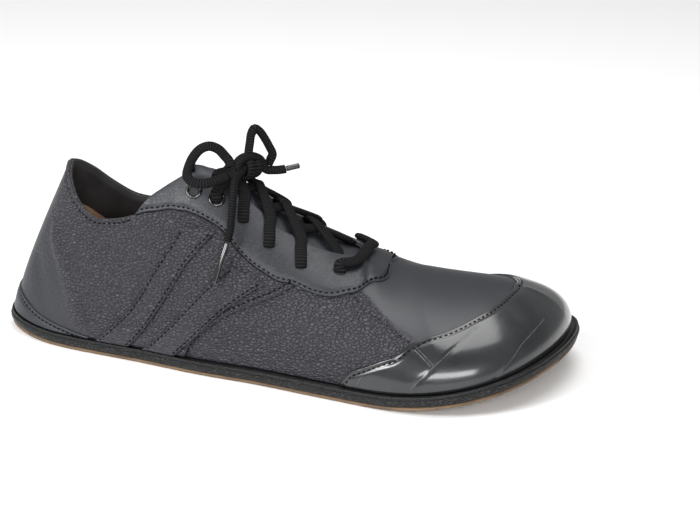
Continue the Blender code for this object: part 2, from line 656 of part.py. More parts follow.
def build_strap(side, place):
    """One plain slanted side strap over a quarter."""
    rows = STRAP_LINES[place]
    ups = np.linspace(rows[0][1], rows[-1][1], STRAP_ROWS)
    middle = monotone([(up, along) for along, up in rows], ups)[:, 0]
    skin = Skin()
    across = np.linspace(-STRAP_HALF_WIDTH, STRAP_HALF_WIDTH, 3)
    grid = []
    directions = []
    for shift in across:
        along = middle + shift
        kept = ups * trim(side, along)
        grid.append(surface(side, along, kept))
        directions.append(normals(side, along, kept))
    skin.add_grid(np.stack(grid), np.stack(directions), side == INNER_SIDE)
    inner = 2 * LAYER_GAP + LAYER + STRAP_SLACK
    return skin.solid(f"strap_{place}_{SIDE_NAMES[side]}", inner + STRAP_LAYER, inner)


def build_tongue():
    """The tongue under the lacing gap, from under the vamp to above the eyestay."""
    rows = []
    ways = []
    for along in TONGUE_COLUMNS:
        row = []
        way = []
        for side, shares in ((OUTER_SIDE, TONGUE_SHARES), (INNER_SIDE, TONGUE_SHARES[-2::-1])):
            for share in shares:
                row.append(surface(side, along, share)[0])
                way.append(normals(side, along, share)[0])
        rows.append(row)
        ways.append(way)
    last, before = np.array(rows[-1]), np.array(rows[-2])
    middle = last[len(last) // 2]
    for reach, width in TONGUE_TOP:
        rows.append(list(middle + (last - middle) * width + (last - before) * reach))
        ways.append(ways[-1])
    skin = Skin()
    skin.add_grid(np.array(rows), np.array(ways), True)
    outer = -UPPER_WALL - LAYER_GAP
    return skin.solid("tongue", outer, outer - TONGUE_THICKNESS)


def hole_frame(side, hole, off):
    """Middle of a lace hole, the direction out of it and two directions across it."""
    along, up = hole
    kept = up * trim(side, along)
    out = normals(side, along, kept)[0]
    middle = surface(side, along, kept)[0] + out * off
    ahead = surface(side, along + NORMAL_STEP, kept)[0] - surface(side, along - NORMAL_STEP, kept)[0]
    ahead -= out * (ahead @ out)
    ahead /= np.linalg.norm(ahead)
    return middle, out, ahead, np.cross(out, ahead)


def build_eyelet(side, number):
    """A metal eyelet ring on the eyestay."""
    holes = OUTER_HOLES if side == OUTER_SIDE else INNER_HOLES
    middle, out, ahead, across = hole_frame(side, holes[number], 2 * LAYER_GAP + LAYER)
    wide, narrow = EYELET_OUTER / 2, EYELET_INNER / 2
    profile = [(wide + (narrow - wide) * share, height) for share, height in EYELET_PROFILE]
    points = []
    for i in range(EYELET_SIDES):
        turn = 2 * math.pi * i / EYELET_SIDES
        reach = ahead * math.cos(turn) + across * math.sin(turn)
        points += [middle + reach * radius + out * height * EYELET_HEIGHT for radius, height in profile]
    rows = len(profile)
    faces = []
    for i in range(EYELET_SIDES):
        j = (i + 1) % EYELET_SIDES
        for k in range(rows):
            m = (k + 1) % rows
            faces.append([i * rows + k, j * rows + k, j * rows + m, i * rows + m])
    return mesh_object(f"eyelet_{SIDE_NAMES[side]}_{number + 1}", points, faces)


def flat_tube(route, width, thickness):
    """Points and faces of a closed flattened tube, flat side facing the given directions."""
    points = []
    for i, (place, out) in enumerate(route):
        ahead = route[min(i + 1, len(route) - 1)][0] - route[max(i - 1, 0)][0]
        ahead = ahead / np.linalg.norm(ahead)
        across = np.cross(out, ahead)
        across /= np.linalg.norm(across)
        lift = np.cross(ahead, across)
        for k in range(TUBE_SIDES):
            turn = 2 * math.pi * k / TUBE_SIDES
            points.append(place + across * math.cos(turn) * width / 2 + lift * math.sin(turn) * thickness / 2)
    faces = []
    for i in range(len(route) - 1):
        for k in range(TUBE_SIDES):
            m = (k + 1) % TUBE_SIDES
            here, there = i * TUBE_SIDES, (i + 1) * TUBE_SIDES
            faces.append([here + k, here + m, there + m, there + k])
    faces.append(list(range(TUBE_SIDES))[::-1])
    faces.append([len(points) - TUBE_SIDES + k for k in range(TUBE_SIDES)])
    return points, faces


def lace_height(number):
    """Height of a lace's middle over the body of the upper where it lies at a hole."""
    height = 2 * LAYER_GAP + LAYER + LACE_THICKNESS / 2 + LACE_SLACK
    return height + EYELET_HEIGHT + CLEARANCE if number < METAL_EYELETS else height


def lace_stops(side, number, stops):
    """Places of the lace, and directions out of the upper, between a hole and its lacing edge."""
    along, up = (OUTER_HOLES if side == OUTER_SIDE else INNER_HOLES)[number]
    route = []
    for stop in stops:
        kept = (up + (1 - up) * stop) * trim(side, along)
        out = normals(side, along, kept)[0]
        route.append((surface(side, along, kept)[0] + out * lace_height(number), out))
    return route


def crossing_route(side, number):
    """A run of lace from outside one hole over the gap to the other side's next hole up."""
    start = lace_stops(side, number + 1, (-HOLE_OVERRUN, 1.0))
    finish = lace_stops(-side, number, (1.0,))
    holes = OUTER_HOLES if side == OUTER_SIDE else INNER_HOLES
    along = (holes[number][0] + holes[number + 1][0]) / 2
    out = normals(side, along, 1.0)[0]
    ridge = surface(side, along, 1.0)[0] + out * (lace_height(number) + lace_height(number + 1)) / 2
    return start + [(ridge, out)] + finish


def build_lacing():
    """The runs of lace over the gap, joined where they cross and meet."""
    routes = []
    for number in range(len(OUTER_HOLES) - 1):
        routes += [crossing_route(side, number) for side in SIDES]
    last = len(OUTER_HOLES) - 1
    bar = lace_stops(OUTER_SIDE, last, (0.0, 1.0)) + lace_stops(INNER_SIDE, last, (1.0, 0.0))
    first = mesh_object("lace_crossings", *flat_tube(bar, LACE_WIDTH, LACE_THICKNESS))
    others = bpy.data.collections.new("lace_runs")
    bpy.context.scene.collection.children.link(others)
    for route in routes:
        run = mesh_object("lace_run", *flat_tube(route, LACE_WIDTH, LACE_THICKNESS))
        run.hide_render = True
        run.display_type = "WIRE"
        bpy.context.scene.collection.objects.unlink(run)
        others.objects.link(run)
    union = first.modifiers.new("join", "BOOLEAN")
    union.operation = "UNION"
    union.operand_type = "COLLECTION"
    union.collection = others
    return first


def smooth_route(points, spacing):
    """Evenly spaced points of a smooth curve through a cord's own points."""
    points = np.asarray(points, float)
    ends = [2 * points[0] - points[1], *points, 2 * points[-1] - points[-2]]
    fine = []
    for a, b, c, d in zip(ends, ends[1:], ends[2:], ends[3:]):
        for t in np.linspace(0, 1, FINE_STEPS, endpoint=False):
            fine.append(0.5 * (2 * b + (c - a) * t + (2 * a - 5 * b + 4 * c - d) * t**2
                               + (3 * b - a - 3 * c + d) * t**3))
    fine.append(points[-1])
    fine = np.array(fine)
    way = np.r_[0, np.cumsum(np.linalg.norm(np.diff(fine, axis=0), axis=1))]
    count = max(2, int(round(way[-1] / spacing)))
    at = np.linspace(0, way[-1], count + 1)
    return np.stack([np.interp(at, way, fine[:, k]) for k in range(3)], -1)


def build_cord(name, route, diameter, spacing):
    """A round closed tube along a route."""
    path = smooth_route(route, spacing)
    curve = bpy.data.curves.new(name, "CURVE")
    curve.dimensions = "3D"
    curve.bevel_depth = diameter / 2 * MM
    curve.bevel_resolution = 2
    curve.use_fill_caps = True
    spline = curve.splines.new("POLY")
    spline.points.add(len(path) - 1)
    for target, place in zip(spline.points, path):
        target.co = (*((place - [MIDDLE_X, MIDDLE_Y, 0]) * MM), 1)
    item = bpy.data.objects.new(name, curve)
    bpy.context.scene.collection.objects.link(item)
    return item


def clear_scene():
    """Removes whatever the scene holds."""
    for item in list(bpy.data.objects):
        bpy.data.objects.remove(item, do_unlink=True)


def build_shoe():
    """Builds every piece and gives it its finish."""
    grain = material("grained_leather", (0.045, 0.043, 0.050), 0.5)
    smooth = material("smooth_leather", (0.040, 0.045, 0.050), 0.42)
    toe = material("glossy_leather", (0.050, 0.053, 0.058), 0.25)
    edge = material("black_rubber", (0.012, 0.012, 0.013), 0.8)
    tan_sole = material("tan_rubber", (0.42, 0.27, 0.14), 0.7)
    tan_leather = material("tan_leather", (0.50, 0.30, 0.17), 0.6)
    lace = material("black_lace", (0.012, 0.012, 0.012), 0.85)
    metal = material("black_metal", (0.05, 0.05, 0.055), 0.25, 1.0)
    tip = material("clear_tip", (0.10, 0.10, 0.10), 0.15)
    dress(build_outsole(), tan_sole)
    dress(build_midsole(), edge)
    dress(build_insole(), tan_leather)
    dress(build_upper(), smooth)
    dress(build_tongue(), smooth)
    dress(build_eyestay(), smooth)
    dress(build_toe_cap(), toe)
    dress(build_heel_band(), smooth)
    for side in SIDES:
        dress(build_quarter(side), grain)
        for place in STRAP_LINES:
            dress(build_strap(side, place), grain)
        for number in range(METAL_EYELETS):
            dress(build_eyelet(side, number), metal)
    dress(build_lacing(), lace)
    spacing = LACE_DIAMETER
    dress(build_cord("lace_knot", KNOT_ROUTE, KNOT_THICKENING * LACE_DIAMETER, spacing), lace)
    dress(build_cord("lace_loop_low", LOW_LOOP_ROUTE, LACE_DIAMETER, spacing), lace)
    dress(build_cord("lace_loop_high", HIGH_LOOP_ROUTE, LACE_DIAMETER, spacing), lace)
    dress(build_cord("lace_end_long", LONG_END_ROUTE, LACE_DIAMETER, spacing), lace)
    dress(build_cord("lace_end_short", SHORT_END_ROUTE, LACE_DIAMETER, spacing), lace)
    dress(build_cord("aglet_long", LONG_AGLET_ROUTE, AGLET_DIAMETER, AGLET_LENGTH / 3), tip)
    dress(build_cord("aglet_short", SHORT_AGLET_ROUTE, AGLET_DIAMETER, SHORT_AGLET_LENGTH / 2), tip)


clear_scene()
build_shoe()
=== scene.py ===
"""Looks of a man's low barefoot lace-up shoe for the right foot.

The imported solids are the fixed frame. Every leather part is built again as a fine sheet on the
same last, with its creases, rolled edges, stitches and laces, and stands for its solid.
Lengths are in millimetres from the back of the heel, the middle line and the floor, and become
metres in the frame where a mesh is made.
"""

import logging
import math
from dataclasses import dataclass, field
from enum import Enum

import bpy
import numpy as np
from mathutils import Matrix, Vector
from mathutils.kdtree import KDTree


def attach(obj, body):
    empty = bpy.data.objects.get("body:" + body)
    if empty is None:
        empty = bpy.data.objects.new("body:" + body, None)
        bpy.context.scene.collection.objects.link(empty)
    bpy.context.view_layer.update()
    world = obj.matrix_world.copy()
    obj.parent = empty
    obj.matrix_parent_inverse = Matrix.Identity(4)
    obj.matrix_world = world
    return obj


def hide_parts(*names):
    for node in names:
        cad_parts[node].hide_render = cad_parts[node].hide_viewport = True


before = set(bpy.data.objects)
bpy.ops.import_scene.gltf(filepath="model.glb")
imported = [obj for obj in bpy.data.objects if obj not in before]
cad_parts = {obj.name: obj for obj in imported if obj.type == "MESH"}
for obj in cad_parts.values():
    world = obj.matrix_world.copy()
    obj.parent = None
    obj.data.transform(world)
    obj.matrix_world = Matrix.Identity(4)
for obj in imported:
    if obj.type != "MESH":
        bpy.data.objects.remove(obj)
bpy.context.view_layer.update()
LOG = logging.getLogger("shoe")

MM = 0.001
PICTURE_WIDTH = 700
PICTURE_HEIGHT = 525
TURN = 2 * math.pi

# distance of the outer faces from the body of the upper, and the body's own wall
LEATHER_FACE = 1.5
BAND_FACE = 2.4
STRAP_FACE = 3.0
WALL = 1.6


class Side(Enum):
    """The two sides of the shoe, with the sign of their way across."""

    OUTER = -1
    INNER = 1

    @property
    def other(self) -> "Side":
        """The opposite side."""
        return Side.INNER if self is Side.OUTER else Side.OUTER


def monotone(rows: list, at: np.ndarray) -> np.ndarray:
    """Smooth curve through rows that never overshoots them.

    Args:
        rows: Rows of a table, the first column being the place.
        at: Places to read.

    Returns:
        The other columns at those places.
    """
    rows = np.asarray(rows, float)
    x, y = rows[:, 0], rows[:, 1:]
    step = np.diff(x)[:, None]
    slope = np.diff(y, axis=0) / step
    weight_a = 2 * step[1:] + step[:-1]
    weight_b = step[1:] + 2 * step[:-1]
    agree = slope[:-1] * slope[1:] > 0
    before = np.where(agree, slope[:-1], 1.0)
    after = np.where(agree, slope[1:], 1.0)
    tangent = np.zeros_like(y)
    tangent[0], tangent[-1] = slope[0], slope[-1]
    tangent[1:-1] = np.where(agree, (weight_a + weight_b) / (weight_a / before + weight_b / after), 0)
    at = np.clip(np.asarray(at, float), x[0], x[-1])
    i = np.clip(np.searchsorted(x, at, side="right") - 1, 0, len(x) - 2)
    t = ((at - x[i]) / step[i, 0])[:, None]
    return (
        (2 * t**3 - 3 * t**2 + 1) * y[i]
        + (t**3 - 2 * t**2 + t) * step[i] * tangent[i]
        + (3 * t**2 - 2 * t**3) * y[i + 1]
        + (t**3 - t**2) * step[i] * tangent[i + 1]
    )


def line_at(rows: list, at: np.ndarray) -> np.ndarray:
    """Height of a line on the upper at the given places along it."""
    return monotone(rows, np.atleast_1d(at))[:, 0]


def closed_spline(points: list, samples: int) -> tuple:
    """Dense points of a smooth closed curve through the given ones.

    Args:
        points: Corners of the curve.
        samples: Number of steps round it.

    Returns:
        The curve, where each corner falls, and where each sample falls.
    """
    points = np.asarray(points, float)
    count = len(points)
    step = np.linalg.norm(np.roll(points, -1, 0) - points, axis=1) ** 0.5
    knots = np.r_[0, np.cumsum(step)]
    matrix = np.zeros((count, count))
    right = np.zeros_like(points)
    for i in range(count):
        matrix[i, i - 1] += step[i - 1]
        matrix[i, i] += 2 * (step[i - 1] + step[i])
        matrix[i, (i + 1) % count] += step[i]
        ahead = (points[(i + 1) % count] - points[i]) / step[i]
        behind = (points[i] - points[i - 1]) / step[i - 1]
        right[i] = 6 * (ahead - behind)
    bend = np.linalg.solve(matrix, right)
    at = np.linspace(0, knots[-1], samples + 1)
    i = np.clip(np.searchsorted(knots, at, side="right") - 1, 0, count - 1)
    j = (i + 1) % count
    width = step[i][:, None]
    a = (knots[i + 1] - at)[:, None] / width
    b = (at - knots[i])[:, None] / width
    curve = a * points[i] + b * points[j]
    curve += ((a**3 - a) * bend[i] + (b**3 - b) * bend[j]) * width**2 / 6
    return curve, knots, at


def smooth_route(points: list, spacing: float) -> np.ndarray:
    """Evenly spaced points of a smooth curve through a cord's own points.

    Args:
        points: The cord's chosen points.
        spacing: Distance between the points returned.

    Returns:
        The points of the curve.
    """
    points = np.asarray(points, float)
    ends = [2 * points[0] - points[1], *points, 2 * points[-1] - points[-2]]
    fine = []
    for a, b, c, d in zip(ends, ends[1:], ends[2:], ends[3:]):
        for t in np.linspace(0, 1, 12, endpoint=False):
            bend = (2 * a - 5 * b + 4 * c - d) * t**2 + (3 * b - a - 3 * c + d) * t**3
            fine.append(0.5 * (2 * b + (c - a) * t + bend))
    fine.append(points[-1])
    fine = np.array(fine)
    way = np.r_[0, np.cumsum(np.linalg.norm(np.diff(fine, axis=0), axis=1))]
    count = max(2, int(round(way[-1] / spacing)))
    at = np.linspace(0, way[-1], count + 1)
    return np.stack([np.interp(at, way, fine[:, k]) for k in range(3)], -1)


def distance_to_line(points: np.ndarray, line: np.ndarray) -> np.ndarray:
    """Distance of each point to a line of straight pieces.

    Args:
        points: Points in millimetres.
        line: Points of the line.

    Returns:
        The distance of each point.
    """
    nearest = np.full(len(points), np.inf)
    for a, b in zip(line, line[1:]):
        run = b - a
        share = np.clip(((points - a) @ run) / max(run @ run, 1e-9), 0, 1)
        nearest = np.minimum(nearest, np.linalg.norm(points - a - share[:, None] * run, axis=1))
    return nearest


def wall_faces(count: int, rows: int) -> list:
    """Quads of a wall of points that closes round its first axis.

    Args:
        count: Points round the axis.
        rows: Points in each column.

    Returns:
        The faces.
    """
    index = np.arange(count * rows).reshape(count, rows)
    around = np.roll(index, -1, 0)
    return np.stack([index[:, :-1], around[:, :-1], around[:, 1:], index[:, 1:]], -1).reshape(-1, 4).tolist()


def capped_faces(count: int, rows: int) -> list:
    """Faces of a sole layer: its wall, and two flat caps that run from side to side.

    Args:
        count: Points round the outline, from the heel and back to it.
        rows: Points from the lower cap to the upper one.

    Returns:
        The faces.
    """
    faces = wall_faces(count, rows)
    for i in range(count // 2):
        a, b = i, i + 1
        c, d = (count - i - 1) % count, (count - i) % count
        for row, ring in ((0, (a, d, c, b)), (rows - 1, (a, b, c, d))):
            face = [k * rows + row for k in ring]
            face = [k for n, k in enumerate(face) if k != face[n - 1]]
            if len(set(face)) > 2:
                faces.append(face)
    return faces


@dataclass
class Last:
    """The form of the shoe: the outline of the sole and the sections of the upper over it."""

    length: float = 278.0
    ball_width: float = 117.0
    heel_height: float = 84.5
    instep_height: float = 92.0
    outsole_thickness: float = 1.5
    midsole_thickness: float = 4.4
    toe_spring: float = 14.2
    heel_spring: float = 3.0
    toe_spring_start: float = 0.68
    heel_spring_end: float = 0.12
    toe_spring_power: float = 1.8
    heel_spring_power: float = 1.5
    flange_heel: float = 3.8
    flange_toe: float = 5.6
    flange_start: float = 0.3
    flange_run: float = 0.6
    flange_power: float = 1.2
    clearance: float = 0.3
    dome_start: float = 0.355
    ridge_blend: float = 0.05
    steepest_ridge: float = -0.6
    step: float = 0.002
    sole_outline: tuple = (
        (0.000, 0.005), (0.022, -0.130), (0.085, -0.231), (0.170, -0.285), (0.280, -0.323),
        (0.400, -0.375), (0.500, -0.401), (0.600, -0.442), (0.690, -0.479), (0.780, -0.507),
        (0.870, -0.461), (0.940, -0.326), (0.985, -0.113), (1.000, 0.109), (0.985, 0.310),
        (0.930, 0.454), (0.840, 0.494), (0.740, 0.471), (0.640, 0.403), (0.530, 0.294),
        (0.420, 0.237), (0.300, 0.244), (0.180, 0.279), (0.085, 0.264), (0.022, 0.146),
    )
    toe_row: int = 13
    # along, x, y, z, lean, low, rise, high, gap, as in the part's own table
    outer_sections: tuple = (
        (0.000, 0.1205, 0.000, 1.000, -13, 0.36, 66, 0.33, 0.000),
        (0.050, 0.1237, -0.043, 0.976, -12, 0.36, 72, 0.33, 0.000),
        (0.100, 0.1367, -0.103, 0.900, -9, 0.34, 77, 0.33, 0.000),
        (0.150, 0.1637, -0.154, 0.802, -4, 0.35, 78, 0.33, 0.000),
        (0.200, 0.2032, -0.184, 0.745, 0, 0.36, 74, 0.33, 0.000),
        (0.260, 0.2590, -0.192, 0.768, 0, 0.38, 68, 0.33, 0.000),
        (0.295, 0.2860, -0.167, 0.850, 0, 0.40, 58, 0.33, 0.000),
        (0.355, 0.3417, -0.009, 1.000, 0, 0.46, 0, 0.48, 0.103),
        (0.400, 0.3885, -0.009, 0.967, 0, 0.47, 0, 0.48, 0.094),
        (0.450, 0.4388, -0.004, 0.891, 0, 0.48, 0, 0.47, 0.111),
        (0.510, 0.5000, 0.000, 0.772, 2, 0.50, 0, 0.44, 0.145),
        (0.570, 0.5612, 0.009, 0.674, 3, 0.50, 0, 0.45, 0.137),
        (0.620, 0.6115, 0.017, 0.609, 4, 0.50, 0, 0.46, 0.094),
        (0.660, 0.6475, 0.026, 0.571, 5, 0.50, 0, 0.48, 0.000),
        (0.730, 0.7122, 0.038, 0.507, 6, 0.52, 0, 0.50, 0.000),
        (0.800, 0.7770, 0.051, 0.483, 8, 0.54, 0, 0.50, 0.000),
        (0.870, 0.8345, 0.060, 0.472, 10, 0.56, 0, 0.50, 0.000),
        (0.930, 0.8760, 0.065, 0.461, 12, 0.56, 0, 0.50, 0.000),
        (1.000, 0.9030, 0.070, 0.448, 12, 0.56, 0, 0.50, 0.000),
    )
    inner_sections: tuple = (
        (0.000, 0.1205, 0.000, 1.000, -13, 0.36, 66, 0.33, 0.000),
        (0.050, 0.1259, 0.043, 0.982, -12, 0.36, 72, 0.33, 0.000),
        (0.100, 0.1439, 0.094, 0.923, -9, 0.34, 77, 0.33, 0.000),
        (0.150, 0.1727, 0.128, 0.833, -4, 0.35, 78, 0.33, 0.000),
        (0.200, 0.2158, 0.150, 0.750, 0, 0.36, 74, 0.33, 0.000),
        (0.235, 0.2455, 0.154, 0.734, 0, 0.37, 72, 0.33, 0.000),
        (0.265, 0.2690, 0.152, 0.752, 0, 0.39, 68, 0.33, 0.000),
        (0.295, 0.2910, 0.138, 0.815, 0, 0.41, 58, 0.34, 0.000),
        (0.355, 0.3417, -0.009, 1.000, 0, 0.46, 0, 0.46, 0.103),
        (0.400, 0.3885, -0.009, 0.967, 0, 0.47, 0, 0.46, 0.094),
        (0.450, 0.4388, -0.004, 0.891, 0, 0.48, 0, 0.45, 0.103),
        (0.510, 0.5000, 0.000, 0.772, 0, 0.50, 0, 0.44, 0.111),
        (0.570, 0.5612, 0.009, 0.674, 0, 0.50, 0, 0.45, 0.103),
        (0.620, 0.6115, 0.017, 0.609, 2, 0.50, 0, 0.46, 0.077),
        (0.660, 0.6475, 0.026, 0.571, 4, 0.50, 0, 0.47, 0.000),
        (0.730, 0.7122, 0.038, 0.507, 6, 0.50, 0, 0.47, 0.000),
        (0.800, 0.7770, 0.051, 0.483, 8, 0.52, 0, 0.47, 0.000),
        (0.870, 0.8345, 0.060, 0.472, 10, 0.54, 0, 0.47, 0.000),
        (0.930, 0.8760, 0.065, 0.461, 12, 0.56, 0, 0.48, 0.000),
        (1.000, 0.9030, 0.070, 0.448, 12, 0.56, 0, 0.50, 0.000),
    )

    def __post_init__(self) -> None:
        """Works out each side's outline once."""
        corners = [(x * self.length, y * self.ball_width) for x, y in self.sole_outline]
        curve, knots, at = closed_spline(corners, 2400)
        toe = int(np.argmin(np.abs(at - knots[self.toe_row])))
        self.outlines = {}
        for side, part in ((Side.OUTER, curve[: toe + 1]), (Side.INNER, curve[toe:][::-1])):
            way = np.r_[0, np.cumsum(np.linalg.norm(np.diff(part, axis=0), axis=1))]
            self.outlines[side] = (way / way[-1], part, way[-1])
        self.tables = {
            Side.OUTER: np.array(self.outer_sections),
            Side.INNER: np.array(self.inner_sections),
        }
        outer, inner = self.outlines[Side.OUTER][1], self.outlines[Side.INNER][1]
        middle_x = (outer[:, 0].min() + outer[:, 0].max()) / 2
        self.middle = np.array([middle_x, (outer[:, 1].min() + inner[:, 1].max()) / 2, 0])

    def side_length(self, side: Side) -> float:
        """Length of one side's outline."""
        return self.outlines[side][2]

    def outline(self, side: Side, along: np.ndarray) -> np.ndarray:
        """Points of the sole's outline in plan."""
        way, curve, _ = self.outlines[side]
        return np.stack([np.interp(along, way, curve[:, 0]), np.interp(along, way, curve[:, 1])], -1)

    def outline_round(self, side: Side, along: np.ndarray) -> np.ndarray:
        """The outline, which goes on along the other side past the heel or the toe.

        Args:
            side: Side of the shoe.
            along: Shares along the side.

        Returns:
            Points in plan.
        """
        own = self.outline(side, np.clip(along, 0, 1))
        other = self.outline(side.other, np.where(along < 0, -along, 2 - along))
        return np.where(((along < 0) | (along > 1))[..., None], other, own)

    def outward(self, side: Side, along: np.ndarray) -> np.ndarray:
        """Direction in plan straight out of the outline.

        Args:
            side: Side of the shoe.
            along: Shares along the side.

        Returns:
            Unit directions in plan.
        """
        along = np.asarray(along, float)
        run = self.outline_round(side, along + self.step) - self.outline_round(side, along - self.step)
        run = run * -side.value
        run /= np.linalg.norm(run, axis=-1, keepdims=True)
        return np.stack([run[..., 1], -run[..., 0]], -1)

    def inset(self, side: Side, along: np.ndarray, distance: np.ndarray) -> np.ndarray:
        """The outline moved inwards."""
        shift = np.asarray(distance, float)[..., None]
        return self.outline(side, along) - self.outward(side, along) * shift

    def spring(self, x: np.ndarray) -> np.ndarray:
        """How far the sole lifts off the floor at the toe and, a little, at the heel.

        Args:
            x: Places along the shoe, in millimetres.

        Returns:
            Heights in millimetres.
        """
        share = np.asarray(x, float) / self.length
        toe = np.clip((share - self.toe_spring_start) / (1 - self.toe_spring_start), 0, 1)
        heel = np.clip((self.heel_spring_end - share) / self.heel_spring_end, 0, 1)
        lift = self.toe_spring * toe**self.toe_spring_power
        return lift + self.heel_spring * heel**self.heel_spring_power

    def flange(self, along: np.ndarray) -> np.ndarray:
        """How far the black edge stands out from the upper."""
        share = np.clip((np.asarray(along, float) - self.flange_start) / self.flange_run, 0, 1)
        return self.flange_heel + (self.flange_toe - self.flange_heel) * share**self.flange_power

    @property
    def seat(self) -> float:
        """Height of the upper's lower edge over the sole's own spring."""
        return self.outsole_thickness + self.midsole_thickness + 2 * self.clearance

    def section_ends(self, side: Side, along: np.ndarray) -> tuple:
        """End points of the sections and their other columns.

        Args:
            side: Side of the shoe.
            along: Shares along the side.

        Returns:
            The end points and the other columns.
        """
        rows = monotone(self.tables[side], along)
        blend = np.clip(along / self.dome_start, 0, 1)
        height = self.heel_height + (self.instep_height - self.heel_height) * blend**3
        ends = [rows[:, 0] * self.length, rows[:, 1] * self.ball_width, rows[:, 2] * height]
        return np.stack(ends, -1), rows[:, 3:]

    def surface(self, side: Side, along: np.ndarray, up: np.ndarray) -> np.ndarray:
        """Points of the last's surface.

        Args:
            side: Side of the shoe.
            along: Share of the way from the heel to the toe.
            up: 0 at the sole and 1 at a section's end.

        Returns:
            The points.
        """
        along = np.atleast_1d(np.asarray(along, float))
        up = np.broadcast_to(np.asarray(up, float), along.shape)[:, None]
        end, shape = self.section_ends(side, along)
        lean, low, rise, high = np.radians(shape[:, 0]), shape[:, 1], np.radians(shape[:, 2]), shape[:, 3]
        base = self.inset(side, along, self.flange(along))
        start = np.c_[base, self.spring(base[:, 0]) + self.seat]
        out = self.outward(side, along)
        run = end[:, :2] - base
        reach = np.linalg.norm(run, axis=1)
        run /= reach[:, None]
        height = end[:, 2] - start[:, 2]
        before, _ = self.section_ends(side, np.clip(along - self.step, 0, 1))
        after, _ = self.section_ends(side, np.clip(along + self.step, 0, 1))
        ridge = (after[:, 2] - before[:, 2]) / np.maximum(after[:, 0] - before[:, 0], 1e-6)
        ridge = np.clip(ridge, self.steepest_ridge, 0)
        ridge = ridge * np.clip((along - self.dome_start) / self.ridge_blend, 0, 1)
        wall = np.c_[out * np.sin(lean)[:, None], np.cos(lean)]
        top = np.c_[run * np.cos(rise)[:, None], np.sin(rise) + np.cos(rise) * ridge * run[:, 0]]
        top /= np.linalg.norm(top, axis=1, keepdims=True)
        near = start + wall * (height * low)[:, None]
        far = end - top * (np.hypot(reach, height * np.sin(rise)) * high)[:, None]
        left = 1 - up
        return start * left**3 + 3 * near * up * left**2 + 3 * far * up**2 * left + end * up**3

    def normals(self, side: Side, along: np.ndarray, up: np.ndarray) -> np.ndarray:
        """Directions straight out of the surface.

        Args:
            side: Side of the shoe.
            along: Shares along the side.
            up: Shares up the section.

        Returns:
            Unit directions.
        """
        along = np.atleast_1d(np.asarray(along, float))
        up = np.minimum(np.broadcast_to(np.asarray(up, float), along.shape), 1 - 4 * self.step)
        ahead = self.surface(side, np.clip(along + self.step, 0, 1), up)
        behind = self.surface(side, np.clip(along - self.step, 0, 1), up)
        above = self.surface(side, along, up + self.step)
        below = self.surface(side, along, np.maximum(up - self.step, 0))
        out = np.cross(ahead - behind, above - below) * -side.value
        return out / np.linalg.norm(out, axis=1, keepdims=True)

    def trim(self, side: Side, along: np.ndarray) -> np.ndarray:
        """Share of each section that the upper keeps, as far as the lacing gap.

        Args:
            side: Side of the shoe.
            along: Shares along the side.

        Returns:
            The shares.
        """
        along = np.atleast_1d(np.asarray(along, float))
        gap = monotone(self.tables[side], along)[:, 7] * self.ball_width
        shares = np.linspace(0.4, 1, 61)
        points = np.stack([self.surface(side, along, share) for share in shares], 1)
        step = np.linalg.norm(np.diff(points, axis=1), axis=2)
        rest = np.c_[step[:, ::-1].cumsum(1)[:, ::-1], np.zeros(len(along))]
        return np.array([np.interp(-width, -way, shares) for width, way in zip(gap, rest)])

    def on_upper(self, side: Side, rows: np.ndarray, off: float = 0.0) -> np.ndarray:
        """Points on the trimmed upper.

        Args:
            side: Side of the shoe.
            rows: Pairs of share along and share up to the topline or lacing edge.
            off: Distance off the surface.

        Returns:
            The points.
        """
        rows = np.asarray(rows, float)
        kept = rows[:, 1] * self.trim(side, rows[:, 0])
        return self.surface(side, rows[:, 0], kept) + self.normals(side, rows[:, 0], kept) * off

    def to_frame(self, points: np.ndarray) -> np.ndarray:
        """Millimetres of the shoe to metres of the frame."""
        return (np.asarray(points, float) - self.middle) * MM


class Field:
    """One float socket of a material, with the plain arithmetic of numbers."""

    def __init__(self, graph: "Graph", socket: bpy.types.NodeSocket) -> None:
        """Keeps the socket and the graph that it belongs to."""
        self.graph = graph
        self.socket = socket

    def _math(self, operation: str, *values: object) -> "Field":
        """A Math node over the given values."""
        settings = {"operation": operation}
        return self.graph.field("ShaderNodeMath", settings, dict(enumerate(values)))

    def __add__(self, other: object) -> "Field":
        """Sum."""
        return self._math("ADD", self, other)

    def __radd__(self, other: object) -> "Field":
        """Sum, reflected."""
        return self._math("ADD", other, self)

    def __sub__(self, other: object) -> "Field":
        """Difference."""
        return self._math("SUBTRACT", self, other)

    def __rsub__(self, other: object) -> "Field":
        """Difference, reflected."""
        return self._math("SUBTRACT", other, self)

    def __mul__(self, other: object) -> "Field":
        """Product."""
        return self._math("MULTIPLY", self, other)

    def __rmul__(self, other: object) -> "Field":
        """Product, reflected."""
        return self._math("MULTIPLY", other, self)

    def __abs__(self) -> "Field":
        """Size without the sign."""
        return self._math("ABSOLUTE", self)

    def sine(self) -> "Field":
        """Sine of the value."""
        return self._math("SINE", self)

    def most(self, other: object) -> "Field":
        """The larger of two values."""
        return self._math("MAXIMUM", self, other)

    def smooth(self, low: float, high: float) -> "Field":
        """Soft step from 0 at low to 1 at high.

        Args:
            low: Value where the step starts.
            high: Value where it ends.

        Returns:
            The step.
        """
        down = low > high
        ends = {1: min(low, high), 2: max(low, high), 3: float(down), 4: float(not down)}
        settings = {"interpolation_type": "SMOOTHSTEP"}
        return self.graph.field("ShaderNodeMapRange", settings, {0: self, **ends})


